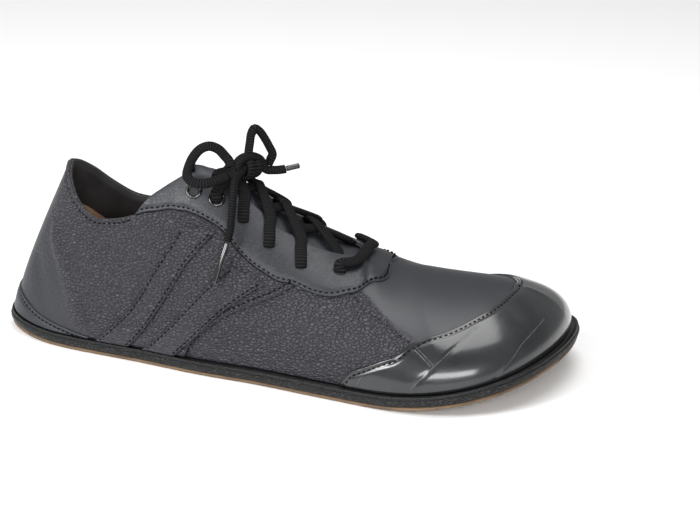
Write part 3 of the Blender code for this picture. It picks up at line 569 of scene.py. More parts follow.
class Graph:
    """The node tree of one finish, written as arithmetic on fields."""

    def __init__(self, name: str) -> None:
        """Starts a material that holds only its shader and output.

        Args:
            name: Its name.
        """
        self.material = bpy.data.materials.new(name)
        self.material.use_nodes = True
        self.tree = self.material.node_tree
        self.shader = self.tree.nodes["Principled BSDF"]
        self.place = self.node("ShaderNodeTexCoord", {}, {}).outputs["Object"]

    def node(self, kind: str, settings: dict, inputs: dict) -> bpy.types.Node:
        """Adds a node.

        Args:
            kind: Blender's type name.
            settings: Attributes to set.
            inputs: Socket names or numbers, with values, sockets or fields.

        Returns:
            The node.
        """
        made = self.tree.nodes.new(kind)
        for key, value in settings.items():
            setattr(made, key, value)
        for key, value in inputs.items():
            self.feed(made.inputs[key], value)
        return made

    def field(self, kind: str, settings: dict, inputs: dict, output: object = 0) -> Field:
        """Adds a node and returns one output as a field."""
        return Field(self, self.node(kind, settings, inputs).outputs[output])

    def feed(self, socket: bpy.types.NodeSocket, value: object) -> None:
        """Links a field or socket, or sets a plain value."""
        if isinstance(value, Field):
            self.tree.links.new(value.socket, socket)
        elif isinstance(value, bpy.types.NodeSocket):
            self.tree.links.new(value, socket)
        else:
            socket.default_value = value

    def noise(self, scale: float, detail: float = 2.0, place: object = None) -> Field:
        """Cloudy pattern of so many lumps to the metre."""
        inputs = {"Vector": place or self.place, "Scale": scale, "Detail": detail}
        return self.field("ShaderNodeTexNoise", {}, inputs, "Fac")

    def cells(self, scale: float, feature: str, place: object = None) -> Field:
        """Cellular pattern of so many cells to the metre."""
        inputs = {"Vector": place or self.place, "Scale": scale}
        return self.field("ShaderNodeTexVoronoi", {"feature": feature}, inputs, "Distance")

    def wobbled(self, scale: float, amount: float) -> bpy.types.NodeSocket:
        """Object coordinates pushed about by a noise.

        Args:
            scale: Scale of the noise.
            amount: How far it pushes, in metres.

        Returns:
            The coordinates.
        """
        noise = self.node("ShaderNodeTexNoise", {}, {"Vector": self.place, "Scale": scale})
        inputs = {0: noise.outputs["Color"], 1: (amount,) * 3, 2: self.place}
        return self.node("ShaderNodeVectorMath", {"operation": "MULTIPLY_ADD"}, inputs).outputs[0]

    def attribute(self, name: str) -> Field:
        """A number kept on the mesh."""
        return self.field("ShaderNodeAttribute", {"attribute_name": name}, {}, "Fac")

    def mix(self, factor: object, first: object, second: object) -> bpy.types.NodeSocket:
        """Blend of two colours."""
        inputs = {0: factor, 6: self.colour(first), 7: self.colour(second)}
        return self.node("ShaderNodeMix", {"data_type": "RGBA"}, inputs).outputs[2]

    @staticmethod
    def colour(value: object) -> object:
        """A colour with its alpha, or the socket as it is."""
        return (*value, 1.0) if isinstance(value, tuple) else value

    def bump(self, height: Field, depth: float) -> bpy.types.NodeSocket:
        """Normal pushed by a height of 0 to 1 over a depth in millimetres."""
        inputs = {"Height": height, "Distance": depth * MM, "Strength": 1.0}
        return self.node("ShaderNodeBump", {}, inputs).outputs[0]

    def stretched(self, place: bpy.types.NodeSocket, by: tuple) -> bpy.types.NodeSocket:
        """Coordinates multiplied along each axis."""
        return self.node("ShaderNodeVectorMath", {"operation": "MULTIPLY"}, {0: place, 1: by}).outputs[0]

    def scratch(self, start: np.ndarray, end: np.ndarray, normal: np.ndarray, width: float) -> Field:
        """Thin line where a plane through two places cuts the surface, 1 on the line.

        Args:
            start: One end of the line, in the frame.
            end: The other end.
            normal: Direction out of the surface between them.
            width: Half width, in millimetres.

        Returns:
            The line's strength.
        """
        run = Vector(end - start)
        across = run.cross(Vector(normal)).normalized()
        off = self.node("ShaderNodeVectorMath", {"operation": "SUBTRACT"}, {0: self.place, 1: tuple(start)})
        dot = {"operation": "DOT_PRODUCT"}
        aside = abs(self.field("ShaderNodeVectorMath", dot, {0: off.outputs[0], 1: tuple(across)}, "Value"))
        way = tuple(run / run.length_squared)
        share = self.field("ShaderNodeVectorMath", dot, {0: off.outputs[0], 1: way}, "Value")
        return aside.smooth(width * MM, 0.0) * share.smooth(-0.03, 0.05) * share.smooth(1.03, 0.95)

    def finish(
        self, colour: object, roughness: object, normal: object = None, **fixed: object
    ) -> bpy.types.Material:
        """Feeds the shader.

        Args:
            colour: Base colour.
            roughness: Roughness.
            normal: Normal, where there is one.
            fixed: Other inputs by name, with underscores for spaces.

        Returns:
            The material.
        """
        self.feed(self.shader.inputs["Base Color"], self.colour(colour))
        self.feed(self.shader.inputs["Roughness"], roughness)
        if normal is not None:
            self.feed(self.shader.inputs["Normal"], normal)
        for name, value in fixed.items():
            self.feed(self.shader.inputs[name.replace("_", " ")], value)
        return self.material


@dataclass(frozen=True)
class GrainedLeather:
    """Pebbled black leather, which turns smooth where the mesh says so, with painted shade in its creases
    and painted highlights on its pebbles.
    """

    name: str = "grained_leather"
    colour: tuple = (0.0048, 0.0042, 0.0070)
    # light: painted highlight colour of the pebble domes, and also the lighter side of the random cloudy
    # tone
    light: tuple = (0.030, 0.027, 0.039)
    plain: tuple = (0.011, 0.0130, 0.0172)
    pebbles: float = 580.0
    stretch: tuple = (0.80, 0.80, 1.45)
    worn: tuple = (0.050, 0.050, 0.053)
    depth: float = 0.92
    roughness: float = 0.43

    def build(self) -> bpy.types.Material:
        """The material.

        Returns:
            The material.
        """
        g = Graph(self.name)
        grain = g.attribute("grain")
        edge = g.attribute("edge")
        place = g.stretched(g.wobbled(260.0, 0.0022), self.stretch)
        dome = g.cells(self.pebbles, "F1", place).smooth(0.78, 0.05)
        crease = g.cells(self.pebbles, "DISTANCE_TO_EDGE", place).smooth(0.0, 0.16)
        pebble = dome * 0.62 + crease * 0.38
        cloud = g.noise(38.0, 3.0)
        fine = g.noise(2600.0, 2.0)
        height = pebble * grain * (cloud * 0.8 + 0.6) + fine * 0.05
        normal = g.bump(height, self.depth)
        # colour painted darker in the creases between pebbles and lighter on their domes (painted shade and
        # painted highlight), over a random cloudy tone
        painted_shading_and_tone = (crease * 0.55 + dome * 0.14 + cloud * 0.50).smooth(0.30, 1.10)
        colour = g.mix(grain.smooth(0.0, 0.5), self.plain, g.mix(painted_shading_and_tone, self.colour, self.light))
        colour = g.mix(edge * 0.35, colour, self.worn)
        roughness = self.roughness + (1.0 - pebble) * grain * 0.22 + cloud * 0.10 - 0.05
        return g.finish(colour, roughness, normal, Specular_IOR_Level=0.55)


@dataclass(frozen=True)
class SmoothLeather:
    """Plain black leather with a fine pore."""

    name: str = "smooth_leather"
    colour: tuple = (0.0080, 0.0095, 0.0130)
    light: tuple = (0.0165, 0.0195, 0.0250)
    worn: tuple = (0.045, 0.046, 0.048)
    roughness: float = 0.44

    def build(self) -> bpy.types.Material:
        """The material.

        Returns:
            The material.
        """
        g = Graph(self.name)
        grain = g.attribute("grain")
        edge = g.attribute("edge")
        place = g.wobbled(300.0, 0.0018)
        pebble = g.cells(700.0, "DISTANCE_TO_EDGE", place).smooth(0.0, 0.35)
        pore = g.cells(1500.0, "F1", place).smooth(0.15, 0.5)
        cloud = g.noise(45.0, 4.0)
        crumple = g.noise(240.0, 4.0)
        height = pore * 0.22 + crumple * 0.35 + pebble * grain * 0.9
        normal = g.bump(height, 0.22)
        colour = g.mix(cloud.smooth(0.3, 0.75), self.colour, self.light)
        colour = g.mix(edge * 0.3, colour, self.worn)
        roughness = self.roughness + crumple * 0.12 - 0.06
        return g.finish(colour, roughness, normal, Specular_IOR_Level=0.5)


@dataclass(frozen=True)
class ToeLeather:
    """Glossy black leather of the toe cap, with fine light scuffs."""

    scuffs: tuple = ()
    name: str = "glossy_leather"
    colour: tuple = (0.0065, 0.0073, 0.0085)
    light: tuple = (0.0160, 0.0180, 0.0200)
    scuff: tuple = (0.11, 0.115, 0.12)

    def build(self) -> bpy.types.Material:
        """The material.

        Returns:
            The material.
        """
        g = Graph(self.name)
        cloud = g.noise(55.0, 4.0)
        waves = g.noise(130.0, 3.0)
        fine = g.noise(1800.0, 3.0)
        lines = 0.0
        for start, end, normal, width in self.scuffs:
            lines = g.scratch(start, end, normal, width).most(lines)
        dull = g.noise(24.0, 2.0).smooth(0.42, 0.62)
        normal = g.bump(waves * 0.6 + fine * 0.10 + lines * 0.35, 0.30)
        colour = g.mix(cloud.smooth(0.3, 0.8), self.colour, self.light)
        broken = g.noise(420.0, 2.0).smooth(0.38, 0.62)
        colour = g.mix(lines * (broken * 0.6 + 0.25), colour, self.scuff)
        roughness = 0.20 + dull * 0.12 + fine * 0.05
        gloss = {"Coat_Weight": 0.9, "Coat_Roughness": 0.16, "Specular_IOR_Level": 0.3}
        return g.finish(colour, roughness, normal, **gloss)


@dataclass(frozen=True)
class Lining:
    """Dark textile and leather lining inside the shoe."""

    name: str = "dark_lining"
    colour: tuple = (0.006, 0.0055, 0.0055)
    light: tuple = (0.019, 0.016, 0.016)
    tan: tuple = (0.40, 0.235, 0.14)

    def build(self) -> bpy.types.Material:
        """The material, tan where the mesh marks the heel's lining.

        Returns:
            The material.
        """
        g = Graph(self.name)
        cloud = g.noise(90.0, 5.0)
        nap = g.noise(3200.0, 3.0)
        colour = g.mix(cloud.smooth(0.3, 0.75), self.colour, self.light)
        heel = (g.attribute("heel") + cloud * 0.3 - 0.15).smooth(0.35, 0.65)
        colour = g.mix(heel, colour, self.tan)
        return g.finish(colour, 0.70 + nap * 0.15, g.bump(cloud * 0.6 + nap * 0.4, 0.25))


@dataclass(frozen=True)
class TanLeather:
    """Undyed leather of the insole."""

    name: str = "tan_leather"
    colour: tuple = (0.36, 0.20, 0.115)
    light: tuple = (0.55, 0.35, 0.22)

    def build(self) -> bpy.types.Material:
        """The material.

        Returns:
            The material.
        """
        g = Graph(self.name)
        cloud = g.noise(60.0, 5.0)
        pore = g.cells(1300.0, "F1").smooth(0.1, 0.5)
        colour = g.mix(cloud.smooth(0.3, 0.7), self.colour, self.light)
        return g.finish(colour, 0.62, g.bump(pore * 0.5 + cloud * 0.5, 0.16))


@dataclass(frozen=True)
class EdgeRubber:
    """Ground black edge of the sole, rough like fine crumb."""

    name: str = "black_rubber"
    colour: tuple = (0.003, 0.003, 0.0033)
    light: tuple = (0.026, 0.026, 0.028)

    def build(self) -> bpy.types.Material:
        """The material.

        Returns:
            The material.
        """
        g = Graph(self.name)
        rough = g.attribute("rough")
        crumb = g.noise(900.0, 4.0).smooth(0.36, 0.66)
        lumps = g.noise(330.0, 3.0)
        height = (crumb * 0.7 + lumps * 0.5) * (rough * 0.9 + 0.1)
        colour = g.mix(crumb * rough * 0.8, self.colour, self.light)
        roughness = 0.30 + lumps * 0.25
        return g.finish(colour, roughness, g.bump(height, 0.9), Specular_IOR_Level=0.36)


@dataclass(frozen=True)
class TanRubber:
    """Tan crepe-like outsole."""

    name: str = "tan_rubber"
    colour: tuple = (0.095, 0.058, 0.030)
    light: tuple = (0.17, 0.108, 0.060)

    def build(self) -> bpy.types.Material:
        """The material.

        Returns:
            The material.
        """
        g = Graph(self.name)
        cloud = g.noise(70.0, 5.0)
        crumb = g.noise(1200.0, 4.0)
        colour = g.mix(cloud.smooth(0.3, 0.75), self.colour, self.light)
        return g.finish(colour, 0.7, g.bump(crumb, 0.30))


@dataclass(frozen=True)
class LaceCloth:
    """Black woven lace with ribs across it, which follow the lace's own map, and painted highlights on the
    ribs.
    """

    name: str = "black_lace"
    colour: tuple = (0.0025, 0.0025, 0.0028)
    # light: painted highlight colour of the rib tops, and also the lighter side of the random fuzz
    light: tuple = (0.017, 0.0158, 0.0178)
    rib: float = 1.25

    def build(self) -> bpy.types.Material:
        """The material.

        Returns:
            The material.
        """
        g = Graph(self.name)
        uv = g.node("ShaderNodeUVMap", {"uv_map": "lace"}, {}).outputs[0]
        parts = g.node("ShaderNodeSeparateXYZ", {}, {0: uv})
        across, along = Field(g, parts.outputs[0]), Field(g, parts.outputs[1])
        rib = (along * (TURN / self.rib)).sine() * 0.5 + 0.5
        strand = abs((across * 24.0 + along * 3.0).sine())
        fuzz = g.noise(4200.0, 2.0)
        height = rib * 0.62 + strand * 0.22 + fuzz * 0.30
        # colour painted lighter on the raised ribs (painted highlight), with random fuzz in the tone
        painted_shading_and_tone = (rib * 0.8 + fuzz * 0.45).smooth(0.60, 1.20)
        colour = g.mix(painted_shading_and_tone, self.colour, self.light)
        return g.finish(colour, 0.78, g.bump(height, 0.30), Specular_IOR_Level=0.12)


@dataclass(frozen=True)
class BlackMetal:
    """Black nickel of the eyelets."""

    name: str = "black_metal"
    colour: tuple = (0.07, 0.07, 0.074)
    light: tuple = (0.20, 0.20, 0.21)

    def build(self) -> bpy.types.Material:
        """The material.

        Returns:
            The material.
        """
        g = Graph(self.name)
        worn = g.noise(500.0, 3.0)
        colour = g.mix(worn.smooth(0.5, 0.8), self.colour, self.light)
        return g.finish(colour, 0.16 + worn * 0.12, g.bump(worn, 0.02), Metallic=1.0)


@dataclass(frozen=True)
class TipPlastic:
    """Dark glossy tube over the lace's tip."""

    name: str = "clear_tip"
    colour: tuple = (0.006, 0.006, 0.0065)
    light: tuple = (0.018, 0.018, 0.019)

    def build(self) -> bpy.types.Material:
        """The material.

        Returns:
            The material.
        """
        g = Graph(self.name)
        worn = g.noise(900.0, 2.0)
        colour = g.mix(worn, self.colour, self.light)
        return g.finish(colour, 0.10 + worn * 0.1, g.bump(worn, 0.05), Coat_Weight=0.6)


@dataclass(frozen=True)
class Thread:
    """Waxed black sewing thread."""

    name: str = "thread"
    colour: tuple = (0.002, 0.002, 0.0022)
    light: tuple = (0.0085, 0.0085, 0.0095)

    def build(self) -> bpy.types.Material:
        """The material.

        Returns:
            The material.
        """
        g = Graph(self.name)
        twist = g.noise(2200.0, 2.0)
        colour = g.mix(twist, self.colour, self.light)
        return g.finish(colour, 0.85, g.bump(twist, 0.06), Specular_IOR_Level=0.1)


@dataclass(frozen=True)
class PaleFloor:
    """Plain white floor of the studio."""

    name: str = "floor"
    colour: tuple = (0.93, 0.93, 0.93)

    def build(self) -> bpy.types.Material:
        """The material."""
        return Graph(self.name).finish(self.colour, 0.6, None, Specular_IOR_Level=0.2)


@dataclass
class Finishes:
    """One material for each finish of the shoe."""

    made: dict = field(default_factory=dict)

    def get(self, finish: object) -> bpy.types.Material:
        """The material of a finish, built once."""
        if finish.name not in self.made:
            self.made[finish.name] = finish.build()
        return self.made[finish.name]


@dataclass(frozen=True)
class Crease:
    """A soft trough or ridge on the upper along a line, or an edge pressed by a seam."""

    side: Side
    rows: tuple
    height: float
    width: float


class Relief:
    """All creases of the upper, as a height over the last's surface."""

    def __init__(self, last: Last, creases: list) -> None:
        """Lays each crease's line on the surface once."""
        self.lines = []
        for crease in creases:
            fine = smooth_route([(a, u, 0.0) for a, u in crease.rows], 0.012)[:, :2]
            self.lines.append((crease, last.on_upper(crease.side, fine)))

    def height(self, side: Side, points: np.ndarray) -> np.ndarray:
        """Height of the creases at points of one side.

        Args:
            side: Side that the points are on.
            points: Places on the surface.

        Returns:
            Millimetres out of the surface.
        """
        total = np.zeros(len(points))
        for crease, line in self.lines:
            if crease.side is not side:
                continue
            reach = 3 * crease.width
            low, high = line.min(0) - reach, line.max(0) + reach
            near = np.flatnonzero(((points > low) & (points < high)).all(1))
            if len(near):
                away = distance_to_line(points[near], line) / crease.width
                total[near] += crease.height * np.exp(-(away**2))
        return total


@dataclass
class MeshData:
    """Points in millimetres, faces, and numbers kept at the points."""

    points: np.ndarray
    faces: list
    attributes: dict = field(default_factory=dict)
    materials: np.ndarray = None


class Maker:
    """Turns mesh data into finished pieces of the scene."""

    def __init__(self, last: Last, finishes: Finishes) -> None:
        """Keeps the form and the finishes."""
        self.last = last
        self.finishes = finishes

    def piece(
        self, name: str, data: MeshData, finishes: list, nodes: list, slot: str
    ) -> bpy.types.Object:
        """Makes one piece that rides on the shoe.

        Args:
            name: Name of the piece.
            data: Its mesh.
            finishes: Its finishes, the first one being the main one.
            nodes: Solids that it stands for.
            slot: Passed on to adopt, which does not use it.

        Returns:
            The object.
        """
        mesh = bpy.data.meshes.new(name)
        mesh.from_pydata(self.last.to_frame(data.points).tolist(), [], data.faces)
        for key, values in data.attributes.items():
            kept = mesh.attributes.new(key, "FLOAT", "POINT")
            kept.data.foreach_set("value", np.asarray(values, np.float32))
        if data.materials is not None:
            mesh.polygons.foreach_set("material_index", np.asarray(data.materials, np.int32))
        mesh.polygons.foreach_set("use_smooth", np.ones(len(mesh.polygons), bool))
        mesh.validate()
        mesh.update()
        return self.adopt(mesh, name, finishes, nodes, slot)

    def adopt(
        self, mesh: bpy.types.Mesh, name: str, finishes: list, nodes: list, slot: str
    ) -> bpy.types.Object:
        """Makes a piece from a mesh that is ready.

        Args:
            mesh: The mesh, in the frame.
            name: Name of the piece.
            finishes: Its finishes.
            nodes: Solids that it stands for.
            slot: Not used.

        Returns:
            The object.
        """
        places = np.zeros(len(mesh.polygons), np.int32)
        mesh.polygons.foreach_get("material_index", places)
        mesh.materials.clear()
        for finish in finishes:
            mesh.materials.append(self.finishes.get(finish))
        mesh.polygons.foreach_set("material_index", np.minimum(places, len(finishes) - 1))
        item = bpy.data.objects.new(name, mesh)
        bpy.context.scene.collection.objects.link(item)
        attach(item, "root")
        if nodes:
            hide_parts(*nodes)
        LOG.info("%s: %d faces", name, len(mesh.polygons))
        return item


class Sheet:
    """A leather sheet on the last, from grids of one or both sides."""

    # places of the close rows next to an edge, and the distance within which points are one
    edge_steps = (0.0, 0.10, 0.25, 0.45, 0.75, 1.15)
    weld = 0.004
    # share of the thickness that an edge rolls over, and width of the wear along it
    one_roll = 0.85
    worn_width = 0.9

    def __init__(self, last: Last, relief: Relief) -> None:
        """Starts without points.

        Args:
            last: The last.
            relief: The creases.
        """
        self.last = last
        self.relief = relief
        self.grids = []

    def shares(self, lengths: np.ndarray, rows: int) -> np.ndarray:
        """Shares across each column, closer near both edges.

        Args:
            lengths: Length of each column.
            rows: Number of steps between the close ones.

        Returns:
            One row of shares for each column.
        """
        steps = np.array(self.edge_steps)
        small = np.minimum(1.0, lengths / (3 * steps[-1]))[:, None]
        near = steps[None, :] * small / np.maximum(lengths, 1e-6)[:, None]
        even = np.linspace(0, 1, rows + 1)[None, 1:-1]
        first = near[:, -1:]
        middle = first + (1 - 2 * first) * even
        return np.c_[near, middle, 1 - near[:, ::-1]]

    def add_panel(
        self, side: Side, columns: np.ndarray, low: np.ndarray, high: np.ndarray, rows: int
    ) -> None:
        """Adds one side's panel between two lines of the trimmed upper.

        Args:
            side: Side of the shoe.
            columns: Shares along of its columns.
            low: Share up of its lower edge at each column.
            high: Share up of its upper edge.
            rows: Number of steps between its edges.
        """
        columns = np.asarray(columns, float)
        kept = self.last.trim(side, columns)
        low, high = np.asarray(low) * kept, np.asarray(high) * kept
        probe = [self.last.surface(side, columns, low + (high - low) * t) for t in np.linspace(0, 1, 9)]
        lengths = sum(np.linalg.norm(b - a, axis=1) for a, b in zip(probe, probe[1:]))
        shares = self.shares(lengths, rows)
        along = np.repeat(columns[:, None], shares.shape[1], 1)
        up = low[:, None] + (high - low)[:, None] * shares
        self.add_grid(side, along, up)

    def add_grid(self, side: Side, along: np.ndarray, up: np.ndarray) -> None:
        """Adds a grid of places on the last, first axis along and second axis up.

        Args:
            side: Side of the shoe.
            along: Shares along the side.
            up: Shares up the section.
        """
        shape = along.shape
        points = self.last.surface(side, along.ravel(), up.ravel())
        directions = self.last.normals(side, along.ravel(), up.ravel())
        raised = self.relief.height(side, points)
        self.grids.append((side, shape, points, directions, raised, along.ravel(), up.ravel()))

    def welded(self) -> tuple:
        """Points, directions, relief, places and faces with the doubled points joined.

        Returns:
            The five of them.
        """
        columns = zip(*[grid[2:] for grid in self.grids])
        points, directions, raised, along, up = (np.concatenate(column) for column in columns)
        sides = np.concatenate([np.full(len(grid[2]), grid[0].value) for grid in self.grids])
        places = np.stack([sides, along, up], -1)
        _, first, index = np.unique(
            np.round(points / self.weld).astype(int), axis=0, return_index=True, return_inverse=True
        )
        index = index.reshape(-1)
        joined = np.zeros((len(first), 3))
        np.add.at(joined, index, directions)
        joined /= np.linalg.norm(joined, axis=1, keepdims=True)
        faces = []
        start = 0
        for side, (columns, rows), *_ in self.grids:
            i, j = np.meshgrid(np.arange(columns - 1), np.arange(rows - 1), indexing="ij")
            corner = (start + i * rows + j).ravel()
            quads = np.stack([corner, corner + rows, corner + rows + 1, corner + 1], -1)
            quads = index[quads if side is Side.OUTER else quads[:, ::-1]]
            for quad in quads.tolist():
                ring = [k for n, k in enumerate(quad) if k != quad[n - 1]]
                if len(set(ring)) > 2 and len(set(ring)) == len(ring):
                    faces.append(ring)
            start += columns * rows
        return points[first], joined, raised[first], places[first], faces

    def solid(
        self, outer: float, inner: float, both: bool = False, taper: tuple = (1.0, 1.0, 0.0)
    ) -> MeshData:
        """A closed sheet with rolled edges between two distances from the surface.

        Args:
            outer: Distance of the outer face.
            inner: Distance of the inner face.
            both: Whether the inner face rolls over as well.
            taper: Where it starts to thin, over which share of the way, and by how much.

        Returns:
            The mesh, with its distance from the border kept as an attribute.
        """
        points, directions, raised, places, faces = self.welded()
        edges = dict.fromkeys(pair for face in faces for pair in zip(face, face[1:] + face[:1]))
        border = [(a, b) for a, b in edges if (b, a) not in edges]
        away = self.border_distance(points, border)
        start, run, loss = taper
        outer = outer - loss * np.clip((places[:, 1] - start) / run, 0, 1)
        radius = (outer - inner) * (0.5 if both else self.one_roll)
        near = np.clip(away / radius, 0, 1)
        roll = radius * (1 - np.sqrt(1 - (1 - near) ** 2))
        top = outer - roll + raised
        bottom = inner + raised + (roll if both else 0)
        count = len(points)
        vertices = np.r_[points + directions * top[:, None], points + directions * bottom[:, None]]
        floor = self.last.spring(vertices[:, 0]) + self.last.seat
        vertices[:, 2] = np.maximum(vertices[:, 2], floor)
        shell = faces + [[k + count for k in face[::-1]] for face in faces]
        shell += [[b, a, a + count, b + count] for a, b in border]
        materials = np.r_[np.zeros(len(faces), int), np.ones(len(faces), int), np.zeros(len(border), int)]
        wear = np.clip(1 - away / self.worn_width, 0, 1)
        attributes = {"edge": np.r_[wear, wear]}
        self.places = np.r_[places, places]
        return MeshData(vertices, shell, attributes, materials)

    @staticmethod
    def border_distance(points: np.ndarray, border: list) -> np.ndarray:
        """Distance of each point to the nearest border point.

        Args:
            points: Points in millimetres.
            border: Pairs of neighbours on the border.

        Returns:
            The distance of each point.
        """
        marks = sorted({k for pair in border for k in pair})
        tree = KDTree(len(marks))
        for number, k in enumerate(marks):
            tree.insert(points[k], number)
        tree.balance()
        return np.array([tree.find(point)[2] for point in points])


@dataclass
class Seams:
    """Lines of the leather parts on the outer and inner side: share along, share up."""

    quarter_front: tuple = (
        (0.354, 0.000), (0.359, 0.054), (0.376, 0.124), (0.405, 0.207), (0.450, 0.328),
        (0.486, 0.447), (0.523, 0.607),
    )
    eyestay_low: tuple = (
        (0.262, 1.000), (0.274, 0.965), (0.314, 0.826), (0.349, 0.733), (0.379, 0.701),
        (0.412, 0.664), (0.435, 0.600), (0.462, 0.567), (0.491, 0.572), (0.523, 0.607),
        (0.549, 0.600), (0.573, 0.612), (0.613, 0.678), (0.636, 0.706), (0.663, 0.745),
        (0.684, 0.810), (0.705, 0.990),
    )
    toe_cap: tuple = (
        (0.585, 0.000), (0.603, 0.120), (0.624, 0.170), (0.666, 0.245), (0.695, 0.347),
        (0.718, 0.402), (0.753, 0.454), (0.807, 0.552), (0.838, 0.607), (0.869, 0.677),
        (0.903, 0.775), (0.940, 0.885), (0.975, 1.000),
    )
    heel_band: tuple = ((0.000, 0.150), (0.066, 0.122), (0.111, 0.081), (0.144, 0.059), (0.200, 0.015))
    strap_rear: tuple = ((0.238, 0.000), (0.290, 0.250), (0.335, 0.470), (0.376, 0.640))
    strap_front: tuple = ((0.312, 0.000), (0.350, 0.130), (0.402, 0.310), (0.452, 0.500))
    strap_half_width: float = 0.026
    vamp_seam: tuple = (
        (0.608, 0.655), (0.613, 0.673), (0.631, 0.575), (0.654, 0.478), (0.676, 0.433), (0.697, 0.380),
    )
    counter: tuple = (
        (0.092, 0.66), (0.097, 0.612), (0.130, 0.524), (0.158, 0.373), (0.173, 0.233), (0.181, 0.080),
    )
    gap: float = 0.12


@dataclass
class UpperWork:
    """The leather upper: body, quarters, eyestay, toe cap, heel band and straps."""

    last: Last
    relief: Relief
    maker: Maker
    seams: Seams = field(default_factory=Seams)
    wall: float = WALL
    lift: float = 0.06
    layer: float = LEATHER_FACE
    strap_lift: float = 1.52
    band_layer: float = BAND_FACE
    strap_layer: float = STRAP_FACE
    # share up and share along of the line behind which the heel is smooth
    grain_front: tuple = (
        (0.0, 0.183), (0.08, 0.181), (0.233, 0.173), (0.373, 0.158), (0.524, 0.130), (0.66, 0.080),
        (1.0, 0.03),
    )

    def columns(self, low: float, high: float, spacing: float = 1.4) -> np.ndarray:
        """Even columns between two places, so many millimetres apart."""
        count = int((high - low) * self.last.side_length(Side.OUTER) / spacing)
        return np.linspace(low, high, max(count, 3))

    def grain_of(self, sheet: Sheet, smooth: bool) -> np.ndarray:
        """Strength of the pebble grain at the points of a sheet.

        Args:
            sheet: The sheet, already made solid.
            smooth: Whether the leather is smooth by itself.

        Returns:
            A number from 0 to 1 for each point.
        """
        side, along, up = sheet.places.T
        if smooth:
            return np.clip((0.62 - along) / 0.3, 0, 1) * 0.25
        counter = np.interp(up, *zip(*self.grain_front))
        heel = np.clip((along - counter) / 0.035 + 0.5, 0, 1)
        foot = np.clip(up / 0.16, 0, 1) ** 1.5
        return (0.12 + 0.88 * heel) * (0.30 + 0.70 * foot)

    def build_body(self) -> bpy.types.Object:
        """The hollow body: side vamps, middle vamp and lining.

        Returns:
            The piece.
        """
        sheet = Sheet(self.last, self.relief)
        columns = self.columns(0.0, 1.0, 1.5)
        for side in Side:
            sheet.add_panel(side, columns, np.zeros(len(columns)), np.ones(len(columns)), 44)
        data = sheet.solid(0.0, -self.wall, both=True)
        side, along, up = sheet.places.T
        kept = np.interp(along, [0.613, 0.70], [0.673, 0.38])
        middle = np.clip((up - kept) / 0.03 + 0.5, 0, 1) * np.clip((along - 0.60) / 0.02, 0, 1)
        foot = np.clip(up / 0.12, 0, 1)
        data.attributes["grain"] = (1 - middle) * (0.35 + 0.65 * foot) * 0.9
        below = (0.735 - 0.05 * (along / 0.15) ** 3 - up) / 0.03
        data.attributes["heel"] = np.clip(np.minimum(below, (0.175 - along) / 0.03), 0, 1)
        finishes = [GrainedLeather(), Lining()]
        return self.maker.piece("upper_body", data, finishes, ["upper"], "smooth_leather")

    def build_quarter(self, side: Side) -> bpy.types.Object:
        """One grained side of the back of the shoe.

        Args:
            side: Side of the shoe.

        Returns:
            The piece.
        """
        seams = self.seams
        rear = self.columns(0.0, 0.262, 0.95)
        front = self.columns(0.2632, 0.5225, 0.95)
        columns = np.r_[rear, front]
        columns[0] = seams.gap / self.last.side_length(side)
        low = line_at(seams.quarter_front, columns)
        high = np.where(columns > rear[-1], line_at(seams.eyestay_low, columns) - 0.002, 1.0)
        sheet = Sheet(self.last, self.relief)
        sheet.add_panel(side, columns, low, high, 62)
        data = sheet.solid(self.layer, self.lift)
        data.attributes["grain"] = self.grain_of(sheet, False)
        name = f"quarter_{side.name.lower()}"
        return self.maker.piece(f"{name}_leather", data, [GrainedLeather()] * 2, [name], "grained_leather")

    def build_eyestay(self) -> bpy.types.Object:
        """The smooth facing round the lacing gap.

        Returns:
            The piece.
        """
        seams = self.seams
        columns = np.r_[0.2705, self.columns(0.272, 0.7035, 1.2)]
        sheet = Sheet(self.last, self.relief)
        for side in Side:
            low = line_at(seams.eyestay_low, columns) + 0.002
            sheet.add_panel(side, columns, low, np.ones(len(columns)), 24)
        data = sheet.solid(self.layer, self.lift, taper=(0.58, 0.09, 0.75))
        data.attributes["grain"] = self.grain_of(sheet, True)
        finishes = [SmoothLeather()] * 2
        return self.maker.piece("eyestay_leather", data, finishes, ["eyestay"], "smooth_leather")

    def build_toe_cap(self) -> bpy.types.Object:
        """The glossy cap over the toes.

        Returns:
            The piece.
        """
        columns = self.columns(0.5865, 1.0, 1.2)
        sheet = Sheet(self.last, self.relief)
        for side in Side:
            high = line_at(self.seams.toe_cap, columns)
            sheet.add_panel(side, columns, np.zeros(len(columns)), high, 34)
        data = sheet.solid(self.layer, self.lift)
        scuffs = ToeLeather(self.scuffs())
        return self.maker.piece("toe_cap_leather", data, [scuffs] * 2, ["toe_cap"], "glossy_leather")

    def scuffs(self) -> tuple:
        """Light scuffs and creases of the toe cap, as places in the frame.

        Returns:
            The scuffs, each with its places and width.
        """
        lines = (
            ((0.700, 0.334), (0.722, 0.212), 0.32),
            ((0.704, 0.345), (0.726, 0.222), 0.22),
            ((0.805, 0.470), (0.744, 0.274), 0.30),
            ((0.744, 0.274), (0.691, 0.042), 0.28),
            ((0.935, 0.395), (0.865, 0.241), 0.22),
            ((0.865, 0.241), (0.813, 0.031), 0.22),
            ((0.640, 0.215), (0.612, 0.030), 0.22),
        )
        found = []
        for first, second, width in lines:
            middle = [((first[0] + second[0]) / 2, (first[1] + second[1]) / 2)]
            ends = self.last.to_frame(self.last.on_upper(Side.OUTER, [first, second], self.layer))
            normal = self.last.on_upper(Side.OUTER, middle, 1.0) - self.last.on_upper(Side.OUTER, middle)
            found.append((ends[0], ends[1], normal[0], width))
        return tuple(found)

